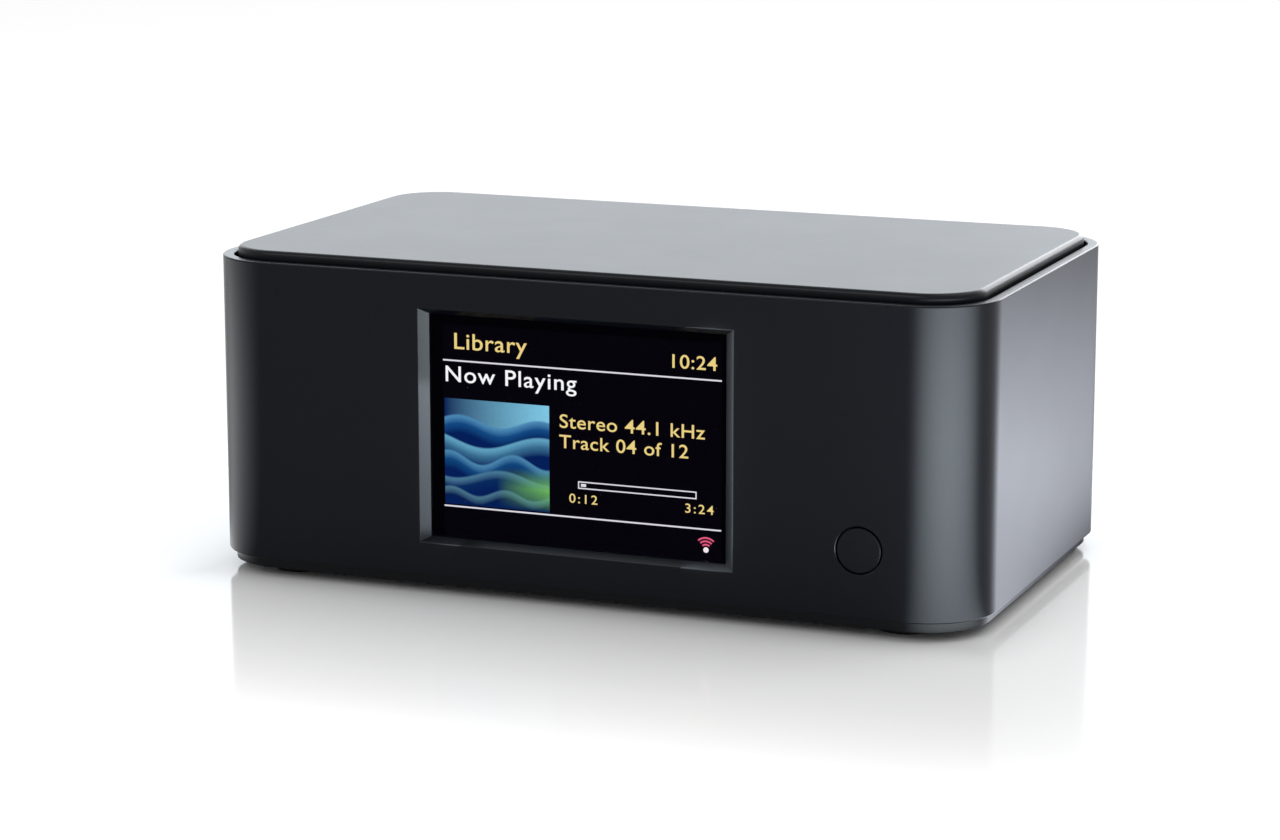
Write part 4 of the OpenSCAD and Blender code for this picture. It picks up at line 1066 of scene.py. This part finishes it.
def lit_surface(paint, colour):
    paint.surface({
        "Base Color": (0, 0, 0, 1),
        "Roughness": 0.4,
        "Specular IOR Level": 0.0,
        "Emission Color": colour,
        "Emission Strength": 1.0,
    })


def lit_finish(name, colour):
    """A colour on the screen, with the fine rows of its pixels."""
    material, paint = new_finish(name)
    rows = (paint.axis("Z") * (2 * math.pi / PIXEL)).sine()
    lit_surface(paint, paint.blend(rows * 0.5 + 0.5, scaled(colour, ROW_DIM), colour))
    return material


YELLOW_WORDS = [
    # text, cap height, x and base line z in mm, side that x is, letter spacing
    ("Library", 3.3, -26.7, 48.2, "LEFT", 1.06),
    ("10:24", 2.72, 27.95, 47.73, "RIGHT", 1.07),
    ("Stereo 44.1 kHz", 2.75, -4.45, 34.4, "LEFT", 1.06),
    ("Track 04 of 12", 2.7, -4.45, 30.45, "LEFT", 1.06),
    ("0:12", 1.85, -2.45, 19.85, "LEFT", 1.25),
    ("3:24", 1.85, 27.35, 19.95, "RIGHT", 1.25),
]
WHITE_WORDS = [("Now Playing", 3.25, -28.6, 41.7, "LEFT", 1.09)]
STROKE = 0.008


def screen_words(rows):
    return joined(*(
        lettering(text, cap * MM, (x * MM, screen_y, z * MM), side, STROKE, spread)
        for text, cap, x, z, side, spread in rows
    ))


def on_screen(name, bm, finish):
    add_piece(name, bm, finish, slot=SCREEN_SLOT)


on_screen("screen_words_yellow", screen_words(YELLOW_WORDS), lit_finish("lit_yellow", tone(240, 214, 136)))
on_screen("screen_words_white", screen_words(WHITE_WORDS), lit_finish("lit_white", tone(252, 253, 255)))

# %% Rules and progress bar
RULE = 0.31 * MM
BAR_LINE = 0.24 * MM
BAR_X = (-0.42 * MM, 23.69 * MM)
BAR_Z = (22.8 * MM, 24.05 * MM)
BAR_PLAYED = 1.13 * MM
RULE_X = 28.8 * MM
RULES_Z = (45.87 * MM, 17.0 * MM)


def flat_strip(left, right, low, high):
    near, far = screen_y - INK / 2, screen_y + INK / 2
    return block((left, near, low), (right, far, high), INK / 3, axis=2, steps=1)


half = BAR_LINE / 2
bar_gap = 1.4 * BAR_LINE
rules_bm = joined(
    *(flat_strip(-RULE_X, RULE_X, z - RULE / 2, z + RULE / 2) for z in RULES_Z),
    *(flat_strip(*BAR_X, z - half, z + half) for z in BAR_Z),
    *(flat_strip(x - half, x + half, BAR_Z[0] - half, BAR_Z[1] + half) for x in BAR_X),
    flat_strip(BAR_X[0] + 2 * BAR_LINE, BAR_PLAYED, BAR_Z[0] + bar_gap, BAR_Z[1] - bar_gap),
)
on_screen("screen_rules", rules_bm, lit_finish("lit_rules", tone(226, 224, 234)))

# %% Signal mark
SIGNAL_X = 25.75 * MM
SIGNAL_Z = 13.0 * MM
SIGNAL_ARCS = (1.05 * MM, 1.7 * MM, 2.35 * MM)
SIGNAL_LINE = 0.34 * MM
SIGNAL_HALF = math.radians(42)
DOT_RADIUS = 0.55 * MM


def signal_arc(radius):
    """A band of a ring, opening upwards, spun from one short line."""
    bm = bmesh.new()
    inner = bm.verts.new((0, 0, radius - SIGNAL_LINE / 2))
    outer = bm.verts.new((0, 0, radius + SIGNAL_LINE / 2))
    line = bm.edges.new((inner, outer))
    to_start = Matrix.Rotation(-SIGNAL_HALF, 3, "Y")
    bmesh.ops.rotate(bm, cent=(0, 0, 0), matrix=to_start, verts=bm.verts)
    bmesh.ops.spin(
        bm, geom=[inner, outer, line], cent=(0, 0, 0), axis=(0, 1, 0), angle=2 * SIGNAL_HALF, steps=16,
        use_duplicate=False,
    )
    bmesh.ops.solidify(bm, geom=bm.faces[:], thickness=INK)
    bmesh.ops.recalc_face_normals(bm, faces=bm.faces)
    bmesh.ops.translate(bm, vec=(SIGNAL_X, screen_y, SIGNAL_Z), verts=bm.verts)
    return bm


arcs_bm = joined(*(signal_arc(radius) for radius in SIGNAL_ARCS))
on_screen("screen_signal_arcs", arcs_bm, lit_finish("lit_pink", tone(226, 92, 128)))
dot_bm = turned([
    (0, -INK / 2),
    (DOT_RADIUS - INK, -INK / 2),
    (DOT_RADIUS, 0),
    (DOT_RADIUS - INK, INK / 2),
    (0, INK / 2),
], (SIGNAL_X, screen_y, SIGNAL_Z), "Y", 24)
on_screen("screen_signal_dot", dot_bm, lit_finish("lit_dot", tone(250, 240, 244)))

# %% [markdown]
# ## Cover art
# The square holds a plain design of the builder's own: rolling layers of blue and teal, one behind the
# other, with a touch of green low down on the right. Each layer is a sine edge, and the layers are laid
# over each other from the back to the front.

# %% Art square
ART_X = (-28.6 * MM, -6.5 * MM)
ART_Z = (17.45 * MM, 38.4 * MM)
ART_LAYERS = [
    # height share, swing share, waves across, start, colour
    (0.80, 0.05, 1.3, 0.4, tone(40, 132, 206)),
    (0.62, 0.07, 0.9, 2.6, tone(112, 200, 238)),
    (0.45, 0.06, 1.6, 1.2, tone(36, 124, 190)),
    (0.30, 0.05, 1.1, 4.1, tone(16, 66, 112)),
    (0.13, 0.04, 1.9, 0.9, tone(6, 24, 44)),
]
ART_SKY = (tone(6, 30, 84), tone(132, 206, 236))
ART_SHADE = tone(4, 30, 90)
ART_DEPTH = 0.34
ART_EDGE = 0.02
CREST = tone(150, 226, 252)
CREST_SHARE = 0.25
CREST_EDGE = (0.04, 0.08)
GREEN = tone(120, 200, 84)
GREEN_SHARE = 0.8
GREEN_FROM_X = 0.5
GREEN_Z = 0.2
ART_GRAIN = 0.5 * MM
GRAIN_SHARE = 0.15
GRAIN_TONE = tone(20, 40, 60)


def art_finish():
    material, paint = new_finish("art_layers")
    across = (paint.axis("X") - ART_X[0]) / (ART_X[1] - ART_X[0])
    rise = (paint.axis("Z") - ART_Z[0]) / (ART_Z[1] - ART_Z[0])
    colour = paint.blend(across, *ART_SKY)
    for height, swing, waves, start, layer in ART_LAYERS:
        edge = height + (across * (2 * math.pi * waves) + start).sine() * swing
        under_edge = 1 - (rise - edge).over(0.0, ART_EDGE)
        crest = under_edge * (1 - (edge - rise).over(*CREST_EDGE))
        shaded = paint.blend((edge - rise).over(0.0, ART_DEPTH), layer, ART_SHADE)
        colour = paint.blend(under_edge, colour, shaded)
        colour = paint.blend(crest * CREST_SHARE, colour, CREST)
    to_right = ((across - GREEN_FROM_X) / (1 - GREEN_FROM_X)).limited()
    low_down = (1 - (rise - GREEN_Z).size() / GREEN_Z).limited()
    colour = paint.blend(to_right * low_down * GREEN_SHARE, colour, GREEN)
    grain = paint.noise(ART_GRAIN)
    lit_surface(paint, paint.blend(grain * GRAIN_SHARE, colour, GRAIN_TONE))
    return material


on_screen("screen_art", flat_strip(*ART_X, *ART_Z), art_finish())

# %% [markdown]
# ## Everything else
# The base, the boards, the sockets and the fasteners have the right shape in the solids already. What
# they lack is the small break on every edge that catches the light. A copy of each is merged, its flat
# faces are joined again, and its outer edges are rounded by a width that suits the piece: a stamped screw
# takes less than a moulded housing.

# %% Broken edges
SOLID_WELD = 0.002 * MM
FLAT_ANGLE = math.radians(0.5)


def edged_copy(node, width, body="case"):
    """A copy of a node's mesh with its outer edges rounded by a width in mm."""
    bm = bmesh.new()
    bm.from_mesh(frame["nodes"][node].data)
    bmesh.ops.remove_doubles(bm, verts=bm.verts, dist=SOLID_WELD)
    bmesh.ops.dissolve_limit(bm, angle_limit=FLAT_ANGLE, verts=bm.verts, edges=bm.edges)
    outer = [
        edge for edge in bm.edges
        if edge.is_manifold and edge.is_convex and edge.calc_face_angle() > SHARP_EDGE
    ]
    if width:
        round_edges(bm, outer, width * MM, 2, clamped=True)
    add_piece(node + "_edged", bm, finishes[slot_of[node]], body, [node])


EDGE_WIDTHS = {
    # node: width in mm, 0 for the thin ribbons and the round leads
    "base_plate": 0.2, "base_screws": 0.08, "lens_gasket": 0.05, "lcd_backlight": 0.1,
    "front_bracket": 0.15, "bracket_screws": 0.08, "display_ribbon": 0.0, "ribbon_connector": 0.12,
    "button_board": 0.08, "button_board_screws": 0.08, "switch_body": 0.12, "button_ribbon": 0.0,
    "button_connector": 0.12, "main_board": 0.08, "board_screws": 0.08, "processor": 0.12,
    "memory_chips": 0.1, "dac_chip": 0.1, "output_capacitors": 0.25, "supply_coil": 0.4,
    "wifi_module": 0.08, "wifi_shield": 0.25, "antenna_left": 0.08, "antenna_right": 0.08,
    "antenna_lead_left": 0.0, "antenna_lead_right": 0.0, "antenna_plugs": 0.1, "rear_panel": 0.2,
    "rear_panel_screws": 0.1, "audio_housing": 0.2, "audio_barrel_left": 0.15, "audio_barrel_right": 0.15,
    "audio_insulator_left": 0.15, "audio_insulator_right": 0.15, "coax_housing": 0.2, "coax_barrel": 0.15,
    "coax_insulator": 0.15, "optical_housing": 0.2, "optical_emitter": 0.1, "ethernet_jack": 0.15,
    "ethernet_contacts": 0.05, "dc_housing": 0.2, "dc_pin": 0.2,
}
for node, width in EDGE_WIDTHS.items():
    edged_copy(node, width)
edged_copy("switch_plunger", 0.12, body="power_button")
edged_copy("optical_shutter", 0.12, body="optical_shutter")

# %% [markdown]
# ## Words by the sockets
# Small pale words beside the sockets say what plugs in where. They are plain words that any such box
# carries, printed on the recessed panel, and are made like the words on the screen, facing the other way.

# %% Socket words
PANEL_OUTER = 39.5 * MM
PRINT_CAP = 2.0 * MM
PRINT_STROKE = 0.01
SOCKET_WORDS = [
    # text, middle x and base line z in mm
    ("L", 37.2, 30.2),
    ("R", 37.2, 16.2),
    ("COAX", 25.0, 30.2),
    ("OPTICAL", 8.0, 30.2),
    ("LAN", -16.0, 30.2),
    ("DC IN", -44.0, 30.2),
]


def socket_word(text, x, z):
    place = (x * MM, PANEL_OUTER + INK / 2, z * MM)
    return lettering(text, PRINT_CAP, place, "CENTER", PRINT_STROKE, facing=FACING_BACK)


print_bm = joined(*(socket_word(*row) for row in SOCKET_WORDS))
pale_print = even_finish("print_pale", tone(206, 208, 210), 0.5, 0.2, 0.001, {})
add_piece("socket_words", print_bm, pale_print, slot=slot_of["rear_panel"])
